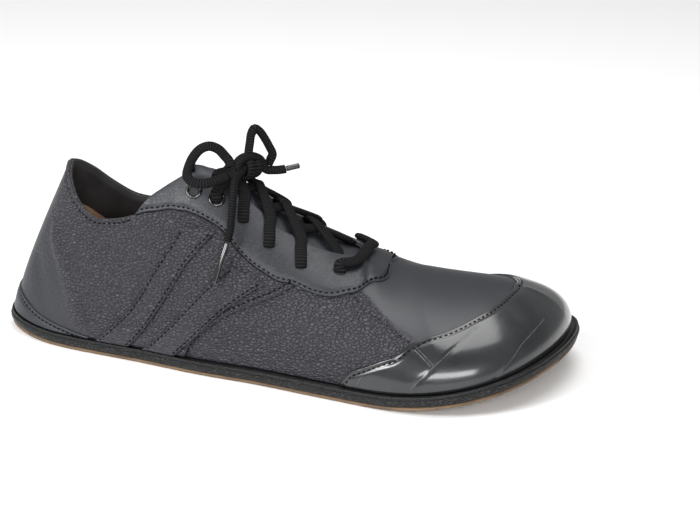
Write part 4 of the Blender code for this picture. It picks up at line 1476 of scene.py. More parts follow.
    def build_heel_band(self) -> bpy.types.Object:
        """The low band round the back of the heel.

        Returns:
            The piece.
        """
        columns = self.columns(0.0, 0.2)
        sheet = Sheet(self.last, self.relief)
        for side in Side:
            high = line_at(self.seams.heel_band, columns)
            sheet.add_panel(side, columns, np.zeros(len(columns)), high, 8)
        data = sheet.solid(self.band_layer, self.strap_lift)
        data.attributes["grain"] = np.zeros(len(data.points))
        finishes = [SmoothLeather()] * 2
        return self.maker.piece("heel_band_leather", data, finishes, ["heel_band"], "smooth_leather")

    def build_strap(self, side: Side, place: str) -> bpy.types.Object:
        """One plain slanted strap over a quarter.

        Args:
            side: Side of the shoe.
            place: The rear one or the front one.

        Returns:
            The piece.
        """
        rows = getattr(self.seams, f"strap_{place}")
        low, high = rows[0][1], rows[-1][1]
        ups = np.linspace(low, high, 60)
        about_length = 40.0
        near = np.array(Sheet.edge_steps[1:]) / about_length
        ups = np.unique(np.r_[ups, low + near * 0.5, high - near * 0.5])
        middle = monotone([(up, along) for along, up in rows], ups)[:, 0]
        width = self.seams.strap_half_width
        share = np.array(Sheet.edge_steps[:-1]) / self.last.side_length(side)
        across = np.r_[-width + share, np.linspace(-width + 0.004, width - 0.004, 9), width - share[::-1]]
        along = middle[None, :] + across[:, None]
        trims = self.last.trim(side, along.ravel()).reshape(along.shape)
        sheet = Sheet(self.last, self.relief)
        sheet.add_grid(side, along, ups[None, :] * trims)
        data = sheet.solid(self.strap_layer, self.strap_lift)
        data.attributes["grain"] = self.grain_of(sheet, False)
        name = f"strap_{place}_{side.name.lower()}"
        return self.maker.piece(f"{name}_leather", data, [GrainedLeather()] * 2, [name], "grained_leather")

    def build(self) -> None:
        """Builds every leather part of the upper."""
        self.build_body()
        self.build_eyestay()
        self.build_toe_cap()
        self.build_heel_band()
        for side in Side:
            self.build_quarter(side)
            self.build_strap(side, "rear")
            self.build_strap(side, "front")


@dataclass
class TongueWork:
    """The tongue under the lacing gap."""

    last: Last
    maker: Maker
    under: float = 2.1
    thickness: float = 2.0
    start: float = 0.70
    end: float = 0.36
    low: float = 0.72
    top_reach: float = 0.10
    sag: float = 4.8
    sag_start: float = 0.66
    wave: float = 0.25
    wave_turns: float = 46.0

    def build(self) -> bpy.types.Object:
        """The padded sheet, wavy where the laces press it.

        Returns:
            The piece.
        """
        stations = np.linspace(self.start, self.end, 120)
        shares = np.linspace(self.low, 1.0, 22)
        rows, ways = [], []
        for side, use in ((Side.OUTER, shares), (Side.INNER, shares[-2::-1])):
            along = np.repeat(stations[:, None], len(use), 1)
            up = np.repeat(use[None, :], len(stations), 0)
            rows.append(self.last.surface(side, along.ravel(), up.ravel()).reshape(*along.shape, 3))
            ways.append(self.last.normals(side, along.ravel(), up.ravel()).reshape(*along.shape, 3))
        points = np.concatenate(rows, 1)
        directions = np.concatenate(ways, 1)
        reach = (points[-1] - points[-9]) / 8 * 12.5
        middle = points[-1][len(points[-1]) // 2]
        extra = []
        for turn in np.linspace(0.05, 0.47 * math.pi, 18):
            rise, width = math.sin(turn) * self.top_reach, math.cos(turn) ** 0.8
            extra.append(middle + (points[-1] - middle) * width + reach * rise)
        points = np.concatenate([points, np.array(extra)])
        directions = np.concatenate([directions, np.repeat(directions[-1:], len(extra), 0)])
        return self.close(points, directions)

    def close(self, points: np.ndarray, directions: np.ndarray) -> bpy.types.Object:
        """Gives the grid its thickness and closes its border.

        Args:
            points: Grid of points.
            directions: Grid of directions out of it.

        Returns:
            The tongue.
        """
        columns, rows = points.shape[:2]
        i, j = np.meshgrid(np.linspace(0, 1, columns), np.linspace(0, 1, rows), indexing="ij")
        border = np.minimum(np.minimum(i, 1 - i) * columns, np.minimum(j, 1 - j) * rows)
        roll = np.clip(1 - border / 2.5, 0, 1) ** 2 * self.thickness * 0.42
        middle = np.sin(j * math.pi)
        hang = np.clip((i - self.sag_start) / (1 - self.sag_start), 0, 1) ** 2
        waves = self.wave * np.sin(i * self.wave_turns) * middle - self.sag * hang * middle**0.5
        top = points + directions * (waves - self.under - roll)[..., None]
        bottom = points + directions * (waves - self.under - self.thickness + roll)[..., None]
        count = columns * rows
        index = np.arange(count).reshape(columns, rows)
        a, b = index[:-1, :-1].ravel(), index[1:, :-1].ravel()
        c, d = index[1:, 1:].ravel(), index[:-1, 1:].ravel()
        upper = np.stack([a, d, c, b], -1)
        ring = [*index[:, 0], *index[-1, 1:], *index[-2::-1, -1], *index[0, -2:0:-1]]
        faces = upper.tolist() + (upper[:, ::-1] + count).tolist()
        faces += [[p, q, q + count, p + count] for p, q in zip(ring, ring[1:] + ring[:1])]
        faces = [[int(k) for k in face] for face in faces]
        data = MeshData(np.r_[top.reshape(-1, 3), bottom.reshape(-1, 3)], faces)
        edge = np.clip(1 - border.ravel() / 2, 0, 1)
        data.attributes = {"edge": np.r_[edge, edge] * 0.6, "grain": np.zeros(2 * count)}
        return self.maker.piece("tongue_leather", data, [SmoothLeather()], ["tongue"], "smooth_leather")


@dataclass
class SoleWork:
    """Outsole, black edge layer and insole."""

    last: Last
    maker: Maker
    columns: int = 330
    outsole_inset: float = 0.9
    crumb: float = 0.16
    insole_margin: float = 1.6
    wall: float = WALL
    insole_thickness: float = 2.0
    # inset from the outline, share of the layer's height, roughness of the surface there
    edge_profile: tuple = (
        (1.3, 0.00, 0.5), (0.7, 0.03, 0.8), (0.3, 0.14, 1.0), (0.06, 0.25, 1.0), (0.0, 0.36, 1.0),
        (0.0, 0.48, 1.0), (0.1, 0.60, 1.0), (0.35, 0.69, 0.9), (0.66, 0.745, 0.5), (0.72, 0.79, 0.2),
        (0.62, 0.87, 0.2), (0.58, 0.95, 0.2), (0.75, 1.03, 0.3), (1.15, 1.06, 0.3), (1.5, 1.03, 0.2),
        (1.75, 0.96, 0.1), (2.2, 0.89, 0.0), (2.7, 0.87, 0.0), (3.1, 0.90, 0.0), (3.5, 0.98, 0.0),
    )

    def rings(self, profile: list, base: float, middle: float, crumb: float) -> tuple:
        """Rings of points round the outline.

        Args:
            profile: Inset, height and roughness of each row.
            base: Height of the layer's foot.
            middle: Inset of the inner row that the flat caps start from.
            crumb: Size of the roughness.

        Returns:
            Points as columns by rows, and the roughness at each.
        """
        shares = np.linspace(0, 1, self.columns)
        lines = [(Side.OUTER, shares), (Side.INNER, shares[-2:0:-1])]
        table = [*profile, (middle, profile[-1][1], 0.0)]
        table = [(middle, profile[0][1], 0.0), *table]
        rows = []
        seed = np.random.default_rng(7)
        for inset, height, rough in table:
            ring = np.concatenate([self.last.inset(s, a, np.full(len(a), inset)) for s, a in lines])
            shake = seed.normal(0, crumb * rough, len(ring))
            way = np.concatenate([self.last.outward(s, a) for s, a in lines])
            ring = ring + way * np.clip(shake, -2 * crumb, 0.3 * crumb)[:, None]
            lift = self.last.spring(ring[:, 0]) + base + height
            lift += np.clip(seed.normal(0, 0.3 * crumb * rough, len(ring)), -0.1, 0.1)
            rows.append(np.c_[ring, lift])
        return np.stack(rows, 1), np.array([row[2] for row in table])

    def layer(
        self, name: str, profile: list, base: float, middle: float, crumb: float, finish: object
    ) -> None:
        """One closed layer of the sole, which stands for its solid.

        Args:
            name: Node that it stands for.
            profile: Inset, height and roughness of each row.
            base: Height of the layer's foot.
            middle: Inset where the flat caps start.
            crumb: Size of the roughness.
            finish: Its finish.
        """
        points, rough = self.rings(profile, base, middle, crumb)
        count, rows = points.shape[:2]
        data = MeshData(points.reshape(-1, 3), capped_faces(count, rows), {"rough": np.tile(rough, count)})
        self.maker.piece(f"{name}_layer", data, [finish], [name], finish.name)

    def build(self) -> None:
        """Builds the three layers."""
        last = self.last
        edge = [(inset, share * last.midsole_thickness, rough) for inset, share, rough in self.edge_profile]
        base = last.outsole_thickness + last.clearance
        self.layer("midsole", edge, base, 2 * last.flange_toe, self.crumb, EdgeRubber())
        inset = self.outsole_inset
        tan = [(inset + 0.5, 0.0, 0.2), (inset + 0.15, 0.12, 0.4), (inset, 0.4, 0.6), (inset, 1.5, 0.5)]
        self.layer("outsole", tan, 0.0, inset + 2 * last.flange_toe, 0.06, TanRubber())
        self.build_insole()

    def build_insole(self) -> bpy.types.Object:
        """The insole, with a rolled upper edge and a slight dish.

        Returns:
            The piece.
        """
        last = self.last
        shares = np.linspace(0, 1, 160)
        lines = [(Side.OUTER, shares), (Side.INNER, shares[-2:0:-1])]
        rows = []
        for extra, height in ((0.0, 0.0), (0.0, 0.7), (0.25, 0.93), (0.7, 1.0), (4.0, 0.98)):
            ring = []
            for side, along in lines:
                distance = last.flange(along) + self.wall + self.insole_margin + extra
                ring.append(last.inset(side, along, distance))
            ring = np.concatenate(ring)
            lift = last.spring(ring[:, 0]) + last.seat + height * self.insole_thickness
            rows.append(np.c_[ring, lift])
        points = np.stack(rows, 1)
        data = MeshData(points.reshape(-1, 3), capped_faces(*points.shape[:2]))
        return self.maker.piece("insole_leather", data, [TanLeather()], ["insole"], "tan_leather")


class StitchTree:
    """Geometry Nodes tree that lays one stitch after another along a curve."""

    def __init__(self, material: bpy.types.Material) -> None:
        """Builds the tree with named inputs.

        Args:
            material: Finish of the stitches.
        """
        self.tree = bpy.data.node_groups.new("stitches", "GeometryNodeTree")
        self.sockets = {}
        self.socket("Geometry", "NodeSocketGeometry")
        for name, value in (("Pitch", 2.6 * MM), ("Length", 2.0 * MM), ("Width", 0.92 * MM)):
            self.socket(name, "NodeSocketFloat").default_value = value
        self.tree.interface.new_socket("Geometry", in_out="OUTPUT", socket_type="NodeSocketGeometry")
        self.material = material
        self.link_up()

    def socket(self, name: str, kind: str) -> object:
        """Adds a named input.

        Args:
            name: Its name.
            kind: Blender's type name.

        Returns:
            The socket of the tree.
        """
        made = self.tree.interface.new_socket(name, in_out="INPUT", socket_type=kind)
        self.sockets[name] = made.identifier
        return made

    def node(self, kind: str, settings: dict, inputs: dict) -> bpy.types.Node:
        """Adds a node with its settings and links.

        Args:
            kind: Blender's type name.
            settings: Attributes to set.
            inputs: Values or links of its sockets.

        Returns:
            The node.
        """
        made = self.tree.nodes.new(kind)
        for key, value in settings.items():
            setattr(made, key, value)
        for key, value in inputs.items():
            if isinstance(value, bpy.types.NodeSocket):
                self.tree.links.new(value, made.inputs[key])
            else:
                made.inputs[key].default_value = value
        return made

    def link_up(self) -> None:
        """Curve, points along it, one stretched bead on each, real mesh, material."""
        given = self.node("NodeGroupInput", {}, {})
        points = self.node(
            "GeometryNodeCurveToPoints", {"mode": "LENGTH"},
            {"Curve": given.outputs["Geometry"], "Length": given.outputs["Pitch"]},
        )
        turn = self.node(
            "FunctionNodeAlignRotationToVector", {"axis": "X"}, {"Vector": points.outputs["Tangent"]}
        )
        bead = self.node("GeometryNodeMeshUVSphere", {}, {"Segments": 8, "Rings": 5, "Radius": 0.5})
        smooth = self.node("GeometryNodeSetShadeSmooth", {}, {"Geometry": bead.outputs["Mesh"]})
        size = self.node("ShaderNodeCombineXYZ", {}, {
            0: given.outputs["Length"], 1: given.outputs["Width"], 2: given.outputs["Width"],
        })
        laid = self.node("GeometryNodeInstanceOnPoints", {}, {
            "Points": points.outputs["Points"], "Instance": smooth.outputs[0],
            "Rotation": turn.outputs[0], "Scale": size.outputs[0],
        })
        real = self.node("GeometryNodeRealizeInstances", {}, {"Geometry": laid.outputs[0]})
        coat = self.node("GeometryNodeSetMaterial", {}, {"Geometry": real.outputs[0]})
        coat.inputs["Material"].default_value = self.material
        out = self.tree.nodes.new("NodeGroupOutput")
        self.tree.links.new(coat.outputs[0], out.inputs[0])

    def lay(self, name: str, lines: list, sizes: dict) -> bpy.types.Mesh:
        """Lays stitches along lines.

        Args:
            name: Name of the mesh.
            lines: Arrays of points, in the frame.
            sizes: Values for the named inputs.

        Returns:
            A plain mesh.
        """
        curve = bpy.data.curves.new(name, "CURVE")
        curve.dimensions = "3D"
        for line in lines:
            spline = curve.splines.new("POLY")
            spline.points.add(len(line) - 1)
            for target, place in zip(spline.points, line):
                target.co = (*place, 1)
        item = bpy.data.objects.new(name, curve)
        bpy.context.scene.collection.objects.link(item)
        modifier = item.modifiers.new("stitches", "NODES")
        modifier.node_group = self.tree
        for key, value in sizes.items():
            modifier[self.sockets[key]] = value
        bpy.context.view_layer.update()
        graph = bpy.context.evaluated_depsgraph_get()
        mesh = bpy.data.meshes.new_from_object(item.evaluated_get(graph), depsgraph=graph)
        item.modifiers.remove(modifier)
        bpy.data.objects.remove(item)
        return mesh


@dataclass
class SewnRows:
    """Where the upper is sewn: rows of places on one side, with the height of their leather."""

    last: Last
    seams: Seams = field(default_factory=Seams)
    layer: float = LEATHER_FACE
    band_layer: float = BAND_FACE
    strap_layer: float = STRAP_FACE
    topline_inset: float = 3.2
    wall_height: float = 75.0

    def moved(self, side: Side, rows: list, aside: float) -> list:
        """A line moved sideways over the leather.

        Args:
            side: Side of the shoe.
            rows: The line.
            aside: Millimetres, upwards when positive.

        Returns:
            The moved line.
        """
        rows = np.asarray(rows, float)
        across = np.gradient(rows, axis=0)
        points = self.last.on_upper(side, rows)
        ahead = self.last.on_upper(side, rows + [0.002, 0]) - points
        below = self.last.on_upper(side, np.c_[rows[:, 0], rows[:, 1] - 0.01]) - points
        per_along = np.linalg.norm(ahead, axis=1) / 0.002
        per_up = np.linalg.norm(below, axis=1) / 0.01
        real = np.c_[across[:, 0] * per_along, across[:, 1] * per_up]
        real /= np.linalg.norm(real, axis=1, keepdims=True)
        shift = np.c_[-real[:, 1] / per_along, real[:, 0] / per_up] * aside
        return [tuple(row) for row in rows + shift]

    def dense(self, rows: tuple, low: float, high: float, count: int = 40) -> list:
        """Evenly read rows of a line between two places."""
        at = np.linspace(low, high, count)
        return list(zip(at, line_at(rows, at)))

    def topline(self) -> list:
        """The row under the folded edge of the collar."""
        return [(a, 1 - self.topline_inset / self.wall_height) for a in np.linspace(0.004, 0.258, 40)]

    def main_rows(self, side: Side) -> list:
        """The rows along the seams of the leather parts, with their heights.

        Args:
            side: Side of the shoe.

        Returns:
            Pairs of a row and its height.
        """
        seams = self.seams
        eyestay = self.moved(side, self.dense(seams.eyestay_low, 0.272, 0.698, 70), 1.6)
        quarter = self.moved(side, self.dense(seams.quarter_front, 0.357, 0.519), 2.0)
        toe = self.moved(side, self.dense(seams.toe_cap, 0.589, 0.972, 60), -2.0)
        band = self.moved(side, self.dense(seams.heel_band, 0.0, 0.196), -1.5)
        vamp = self.dense(seams.vamp_seam, 0.614, 0.696)
        return [
            (eyestay, self.layer), (quarter, self.layer), (toe, self.layer),
            (band, self.band_layer), (vamp, 0.0), (self.topline(), self.layer),
        ]

    def strap_rows(self, side: Side) -> list:
        """The two long rows of each strap, with their heights.

        Args:
            side: Side of the shoe.

        Returns:
            Pairs of a row and its height.
        """
        found = []
        for rows in (self.seams.strap_rear, self.seams.strap_front):
            ups = np.linspace(rows[0][1] + 0.02, rows[-1][1] - 0.03, 30)
            middle = monotone([(up, along) for along, up in rows], ups)[:, 0]
            inside = self.seams.strap_half_width - 1.7 / self.last.side_length(side)
            found += [(list(zip(middle + inside * sign, ups)), self.strap_layer) for sign in (-1, 1)]
        return found


@dataclass
class StitchWork:
    """All sewn rows of the upper."""

    last: Last
    relief: Relief
    maker: Maker
    sink: float = 0.08
    # about how many millimetres a whole share along and a whole share up are
    about_long: float = 300.0
    about_high: float = 60.0

    def on_leather(self, side: Side, rows: list, off: float) -> np.ndarray:
        """A dense line on the creased leather.

        Args:
            side: Side of the shoe.
            rows: Shares along and up of chosen points.
            off: Height over the body of the upper.

        Returns:
            Points in the frame.
        """
        flat = smooth_route([(a * self.about_long, u * self.about_high, 0.0) for a, u in rows], 0.8)
        pairs = flat[:, :2] / [self.about_long, self.about_high]
        base = self.last.on_upper(side, pairs)
        out = self.last.on_upper(side, pairs, 1.0) - base
        height = off - self.sink + self.relief.height(side, base)
        return self.last.to_frame(base + out * height[:, None])

    def build(self) -> None:
        """Lays the stitches of each side as one joined mesh."""
        tree = StitchTree(self.maker.finishes.get(Thread()))
        sewn = SewnRows(self.last)
        for side in Side:
            rows = sewn.main_rows(side) + sewn.strap_rows(side)
            lines = [self.on_leather(side, row, layer) for row, layer in rows]
            mesh = tree.lay(f"stitches_{side.name.lower()}", lines, {"Pitch": 2.6 * MM})
            self.maker.adopt(mesh, f"stitches_{side.name.lower()}", [Thread()], [], "black_lace")


@dataclass
class LaceTube:
    """A flattened woven tube along a route."""

    width: float = 5.4
    thickness: float = 2.8
    sides: int = 20
    spacing: float = 0.55
    squareness: float = 0.85

    def mesh(self, route: np.ndarray, outs: np.ndarray) -> tuple:
        """Mesh of the tube.

        Args:
            route: Dense points of the middle line, in millimetres.
            outs: Direction of the flat face at each point.

        Returns:
            Points, faces, and the map of each face corner.
        """
        count = len(route)
        ahead = np.gradient(route, axis=0)
        ahead /= np.linalg.norm(ahead, axis=1, keepdims=True)
        across = np.cross(outs, ahead)
        across /= np.linalg.norm(across, axis=1, keepdims=True)
        lift = np.cross(ahead, across)
        turn = np.linspace(0, TURN, self.sides, endpoint=False)
        side = np.sign(np.cos(turn)) * np.abs(np.cos(turn)) ** self.squareness
        rise = np.sign(np.sin(turn)) * np.abs(np.sin(turn)) ** self.squareness
        points = route[:, None] + across[:, None] * side[None, :, None] * self.width / 2
        points = points + lift[:, None] * rise[None, :, None] * self.thickness / 2
        way = np.r_[0, np.cumsum(np.linalg.norm(np.diff(route, axis=0), axis=1))]
        faces, maps = [], []
        n = self.sides
        for i in range(count - 1):
            for k in range(n):
                m = (k + 1) % n
                faces.append([i * n + k, i * n + m, (i + 1) * n + m, (i + 1) * n + k])
                left, right, near, far = k / n, (k + 1) / n, way[i], way[i + 1]
                maps += [(left, near), (right, near), (right, far), (left, far)]
        faces += [list(range(n))[::-1], [(count - 1) * n + k for k in range(n)]]
        maps += [(k / n, 0.0) for k in range(n)][::-1] + [(k / n, way[-1]) for k in range(n)]
        return points.reshape(-1, 3), faces, maps


@dataclass
class LacingWork:
    """Metal eyelets, the runs of lace over the gap, and the bow."""

    last: Last
    maker: Maker
    tube: LaceTube = field(default_factory=LaceTube)
    layer: float = LEATHER_FACE
    eyelet_outer: float = 8.0
    eyelet_inner: float = 4.6
    eyelet_height: float = 0.9
    metal_eyelets: int = 2
    path_spacing: float = 1.4
    bar_stops: tuple = (
        (Side.OUTER, 0.628, 0.900, 3.3), (Side.OUTER, 0.656, 0.985, 3.5), (Side.INNER, 0.650, 0.920, 3.3),
    )
    holes: dict = field(default_factory=lambda: {
        Side.OUTER: (
            (0.364, 0.854), (0.400, 0.840), (0.442, 0.811), (0.483, 0.780), (0.534, 0.767), (0.598, 0.829),
        ),
        Side.INNER: (
            (0.364, 0.854), (0.400, 0.845), (0.442, 0.830), (0.483, 0.815), (0.534, 0.810), (0.605, 0.840),
        ),
    })
    low_loop: tuple = (
        (117.8, -12.2, 92.6), (116.6, -11.4, 95.0), (114.4, -10.8, 97.0), (111.4, -11.5, 100.2),
        (107.4, -12.8, 101.6), (103.7, -14.7, 100.2), (101.0, -17.0, 96.6), (99.7, -19.4, 92.4),
        (100.0, -22.2, 89.4), (102.8, -24.6, 87.8), (106.8, -25.4, 87.2), (110.8, -24.0, 87.4),
        (114.6, -20.8, 88.2), (117.6, -16.8, 89.0),
    )
    high_loop: tuple = (
        (123.2, -3.0, 96.2), (123.2, -2.2, 98.6), (123.3, -1.0, 101.6), (123.4, 0.4, 105.0),
        (124.6, 1.8, 107.6), (126.8, 3.0, 106.2), (129.0, 4.2, 102.4), (130.8, 5.0, 98.6),
        (132.2, 5.4, 95.2), (131.4, 4.6, 92.4),
    )
    long_end: tuple = (
        (120.8, -15.2, 87.2), (121.6, -18.2, 85.6), (122.4, -21.4, 82.8), (123.0, -24.2, 79.2),
        (123.4, -26.8, 75.2), (123.8, -29.2, 71.2), (123.9, -31.2, 67.2), (123.6, -33.4, 63.8),
    )
    long_tip: tuple = ((123.5, -33.6, 63.0), (121.6, -37.4, 54.6), (119.6, -40.4, 45.2))
    # the way the flat of the lace looks in the knot, in each loop and in each end
    knot_face: tuple = (0.2, -0.5, 0.8)
    low_face: tuple = (0.2, -0.75, 0.62)
    high_face: tuple = (0.45, 0.85, 0.1)
    long_face: tuple = (0.9, 0.2, 0.35)
    short_face: tuple = (0.2, -0.4, 0.9)
    # short stretches inside the knot, from its middle to each loop and end
    ties: tuple = (
        ((121.5, -9.0, 90.5), (119.6, -11.6, 90.9), (117.9, -12.2, 92.4)),
        ((122.0, -9.0, 90.0), (119.6, -13.6, 89.2), (117.8, -16.6, 89.0)),
        ((123.4, -4.4, 92.0), (123.2, -3.4, 94.2), (123.2, -2.9, 96.4)),
        ((126.6, 1.6, 90.2), (129.4, 3.4, 89.9), (131.0, 4.5, 91.4), (131.6, 4.85, 93.4)),
        ((121.4, -9.6, 90.2), (120.9, -12.6, 88.9), (120.8, -15.0, 87.3)),
    )
    # the short end's turn over the knot, and then its own free stretch
    over_knot: tuple = ((119.5, -11.5, 91.5), (121.0, -8.0, 95.0), (124.0, -3.5, 95.8), (127.5, 0.2, 93.8))
    short_end: tuple = ((130.2, 1.1, 88.8), (133.4, 3.2, 88.0), (135.8, 5.0, 87.8), (138.0, 6.6, 88.0))
    short_tip: tuple = ((138.5, 7.0, 88.1), (143.6, 10.6, 89.0))
    knot: tuple = (
        (120.6, -10.6, 89.6), (122.2, -7.2, 91.2), (124.2, -3.6, 92.0), (126.0, -0.4, 91.4),
        (127.2, 2.4, 90.0),
    )

    def lace(self, name: str, parts: list, nodes: list, tube: LaceTube) -> bpy.types.Object:
        """One piece of one or more runs of lace.

        Args:
            name: Name of the piece.
            parts: Pairs of chosen points and directions of the flat face.
            nodes: Solids that it stands for.
            tube: Section of the lace.

        Returns:
            The piece.
        """
        points, faces, maps = [], [], []
        start = 0
        for chosen, outs in parts:
            route = smooth_route(chosen, tube.spacing)
            share = np.linspace(0, 1, len(route))
            at = np.linspace(0, 1, len(outs))
            way = np.stack([np.interp(share, at, np.asarray(outs, float)[:, k]) for k in range(3)], -1)
            more, rings, corners = tube.mesh(route, way)
            points.append(more)
            faces += [[k + start for k in ring] for ring in rings]
            maps += corners
            start += len(more)
        mesh = bpy.data.meshes.new(name)
        mesh.from_pydata(self.last.to_frame(np.concatenate(points)).tolist(), [], faces)
        layer = mesh.uv_layers.new(name="lace")
        layer.data.foreach_set("uv", np.asarray(maps, np.float32).ravel())
        mesh.polygons.foreach_set("use_smooth", np.ones(len(mesh.polygons), bool))
        mesh.update()
        return self.maker.adopt(mesh, name, [LaceCloth()], nodes, "black_lace")

    def spot(self, side: Side, number: int, stop: float, off: float) -> np.ndarray:
        """Place over the eyestay from a hole (0) to its lacing edge (1), so far off the leather."""
        along, up = self.holes[side][number]
        return self.last.on_upper(side, [(along, up + (1 - up) * stop)], off)[0]

    def facing(self, side: Side, number: int, stop: float) -> np.ndarray:
        """Direction out of the leather there."""
        return self.spot(side, number, stop, 1.0) - self.spot(side, number, stop, 0.0)

    def from_hole(self, side: Side, number: int) -> tuple:
        """A lace that comes up out of a hole and lies down over the eyestay to the edge.

        Args:
            side: Side of the shoe.
            number: Number of the hole, from the collar down.

        Returns:
            Points, and directions of the flat face.
        """
        metal = self.eyelet_height if number < self.metal_eyelets else 0.0
        rest = self.layer + self.tube.thickness / 2
        stops = (
            (-0.10, -0.6), (0.0, self.layer + 0.4 + metal), (0.22, rest + 0.5 + metal / 2),
            (0.6, rest + 0.2), (1.0, rest + 0.1),
        )
        return (
            [self.spot(side, number, stop, off) for stop, off in stops],
            [self.facing(side, number, stop) for stop, _ in stops],
        )

    def crossing(self, side: Side, number: int) -> tuple:
        """A run from a hole over the gap to under the other edge at the next hole up.

        Args:
            side: Side of the shoe.
            number: Number of the hole, from the collar down.

        Returns:
            Points, and directions of the flat face.
        """
        points, outs = self.from_hole(side, number + 1)
        holes = self.holes[side]
        along = (holes[number][0] + holes[number + 1][0]) / 2
        raised = 2.9 if side is Side.OUTER else 0.6
        for share, off in ((0.45, raised * 0.6 + 1.0), (0.5, raised)):
            kept = 1.0 if share == 0.5 else 0.97
            base = self.last.surface(side, [along + (0.5 - share) * 0.1], kept)[0]
            out = self.last.normals(side, [along], kept)[0]
            points.append(base + out * off)
            outs.append(out)
        points.append(self.spot(side.other, number, 1.35, 0.4))
        points.append(self.spot(side.other, number, 0.92, -1.4))
        outs += [self.facing(side.other, number, 1.0)] * 2
        return points, outs

    def bar(self) -> tuple:
        """The lowest run, which bulges forward over the front of the gap.

        Returns:
            Points, and directions of the flat face.
        """
        number = len(self.holes[Side.OUTER]) - 1
        first, outs = self.from_hole(Side.OUTER, number)
        second, others = self.from_hole(Side.INNER, number)
        points, ways = first[:3], outs[:3]
        for side, along, up, off in self.bar_stops:
            points.append(self.last.on_upper(side, [(along, up)], off)[0])
            ways.append(self.last.on_upper(side, [(along, up)], off + 1)[0] - points[-1])
        return points + second[2::-1], ways + others[2::-1]

    def under_run(self, side: Side) -> tuple:
        """A run from under one edge at the lowest hole to under the other edge at the next.

        Args:
            side: Side of the shoe.

        Returns:
            Points, and directions of the flat face.
        """
        lowest = len(self.holes[side]) - 1
        along = (self.holes[side][lowest][0] + self.holes[side.other][lowest - 1][0]) / 2
        off = 2.2 if side is Side.OUTER else 0.2
        base = self.last.surface(side, [along], 1.0)[0]
        out = self.last.normals(side, [along], 1.0)[0]
        stops = ((side, lowest, 0.92, -1.4), (side, lowest, 1.3, 0.1))
        ends = ((side.other, lowest - 1, 1.35, 0.3), (side.other, lowest - 1, 0.92, -1.4))
        middle = [base + out * off]
        points = [self.spot(*stop) for stop in stops] + middle + [self.spot(*stop) for stop in ends]
        outs = [self.facing(s, n, 1.0) for s, n, *_ in stops] + [out]
        return points, outs + [self.facing(s, n, 1.0) for s, n, *_ in ends]

    def to_knot(self, side: Side) -> tuple:
        """The run from the second eyelet up to the knot.

        Args:
            side: Side of the shoe.

        Returns:
            Points, and directions of the flat face.
        """
        points, outs = self.from_hole(side, 1)
        goal = self.knot[0] if side is Side.OUTER else self.knot[-1]
        end = np.array(goal, float) - [0, 0, 1.6]
        points = points[:3] + [(points[2] + end) / 2 + [0, 0, 1.4], end]
        return points, outs[:3] + [outs[2], np.array([0.0, 0.0, 1.0])]

    def build_eyelet(self, side: Side, number: int) -> None:
        """A rolled metal ring.

        Args:
            side: Side of the shoe.
            number: Number of the hole, from the collar down.
        """
        along, up = self.holes[side][number]
        front, back = self.last.on_upper(side, [(along + 0.004, up), (along - 0.004, up)])
        wide, narrow = self.eyelet_outer / 2, self.eyelet_inner / 2
        middle, half = (wide + narrow) / 2, (wide - narrow) / 2
        turns = np.linspace(0, math.pi, 11)
        profile = [(middle + half * math.cos(t), self.eyelet_height * 1.05 * math.sin(t)) for t in turns]
        profile += [(narrow - 0.05, -0.9), (narrow + 0.25, -0.9)]
        steps, rows = 40, len(profile)
        points = self.turned(side, number, self.layer - 0.1, front - back, profile, steps)
        faces = wall_faces(steps, rows)
        foot = [(i * rows, (i + 1) % steps * rows) for i in range(steps)]
        faces += [[i + rows - 1, j + rows - 1, j, i] for i, j in foot]
        name = f"eyelet_{side.name.lower()}_{number + 1}"
        self.maker.piece(f"{name}_ring", MeshData(points, faces), [BlackMetal()], [name], "black_metal")
        self.build_hole(side, number, narrow)

    def turned(
        self, side: Side, number: int, off: float, ahead: np.ndarray, profile: list, steps: int
    ) -> np.ndarray:
        """Points of a profile turned round a hole's axis, step after step.

        Args:
            side: Side of the shoe.
            number: Number of the hole.
            off: Height of the profile's foot over the surface.
            ahead: Direction in which the first step looks, as far as it lies across the axis.
            profile: Radius and height of each row.
            steps: Number of steps round.

        Returns:
            The points.
        """
        foot = self.last.on_upper(side, [self.holes[side][number]], off)[0]
        out = self.facing(side, number, 0.0)
        ahead = ahead - out * (ahead @ out)
        ahead /= np.linalg.norm(ahead)
        turn = np.linspace(0, TURN, steps, endpoint=False)[:, None]
        reach = ahead * np.cos(turn) + np.cross(out, ahead) * np.sin(turn)
        radius, height = np.array(profile).T[:, None, :, None]
        return (foot + reach[:, None] * radius + out * height).reshape(-1, 3)

    def build_hole(self, side: Side, number: int, radius: float) -> None:
        """A dark disc over a hole: the hole is real, and the disc's darkness is painted shade inside it.

        Args:
            side: Side of the shoe.
            number: Number of the hole, from the collar down.
            radius: Radius of the hole.
        """
        profile = [(radius * 1.08, -0.4), (radius * 1.08, 0.0), (radius * 0.8, -0.05), (0.3, -0.1)]
        steps, rows = 28, len(profile)
        ahead = np.cross(self.facing(side, number, 0.0), [0.0, 0.0, 1.0])
        points = self.turned(side, number, self.layer + 0.12, ahead, profile, steps)
        faces = wall_faces(steps, rows)
        faces += [[i * rows + rows - 1 for i in range(steps)], [i * rows for i in range(steps)][::-1]]
        name = f"hole_{side.name.lower()}_{number + 1}"
        # the disc is painted shade, in the dark lining's finish
        self.maker.piece(name, MeshData(points, faces), [Lining()], [], "black_lace")

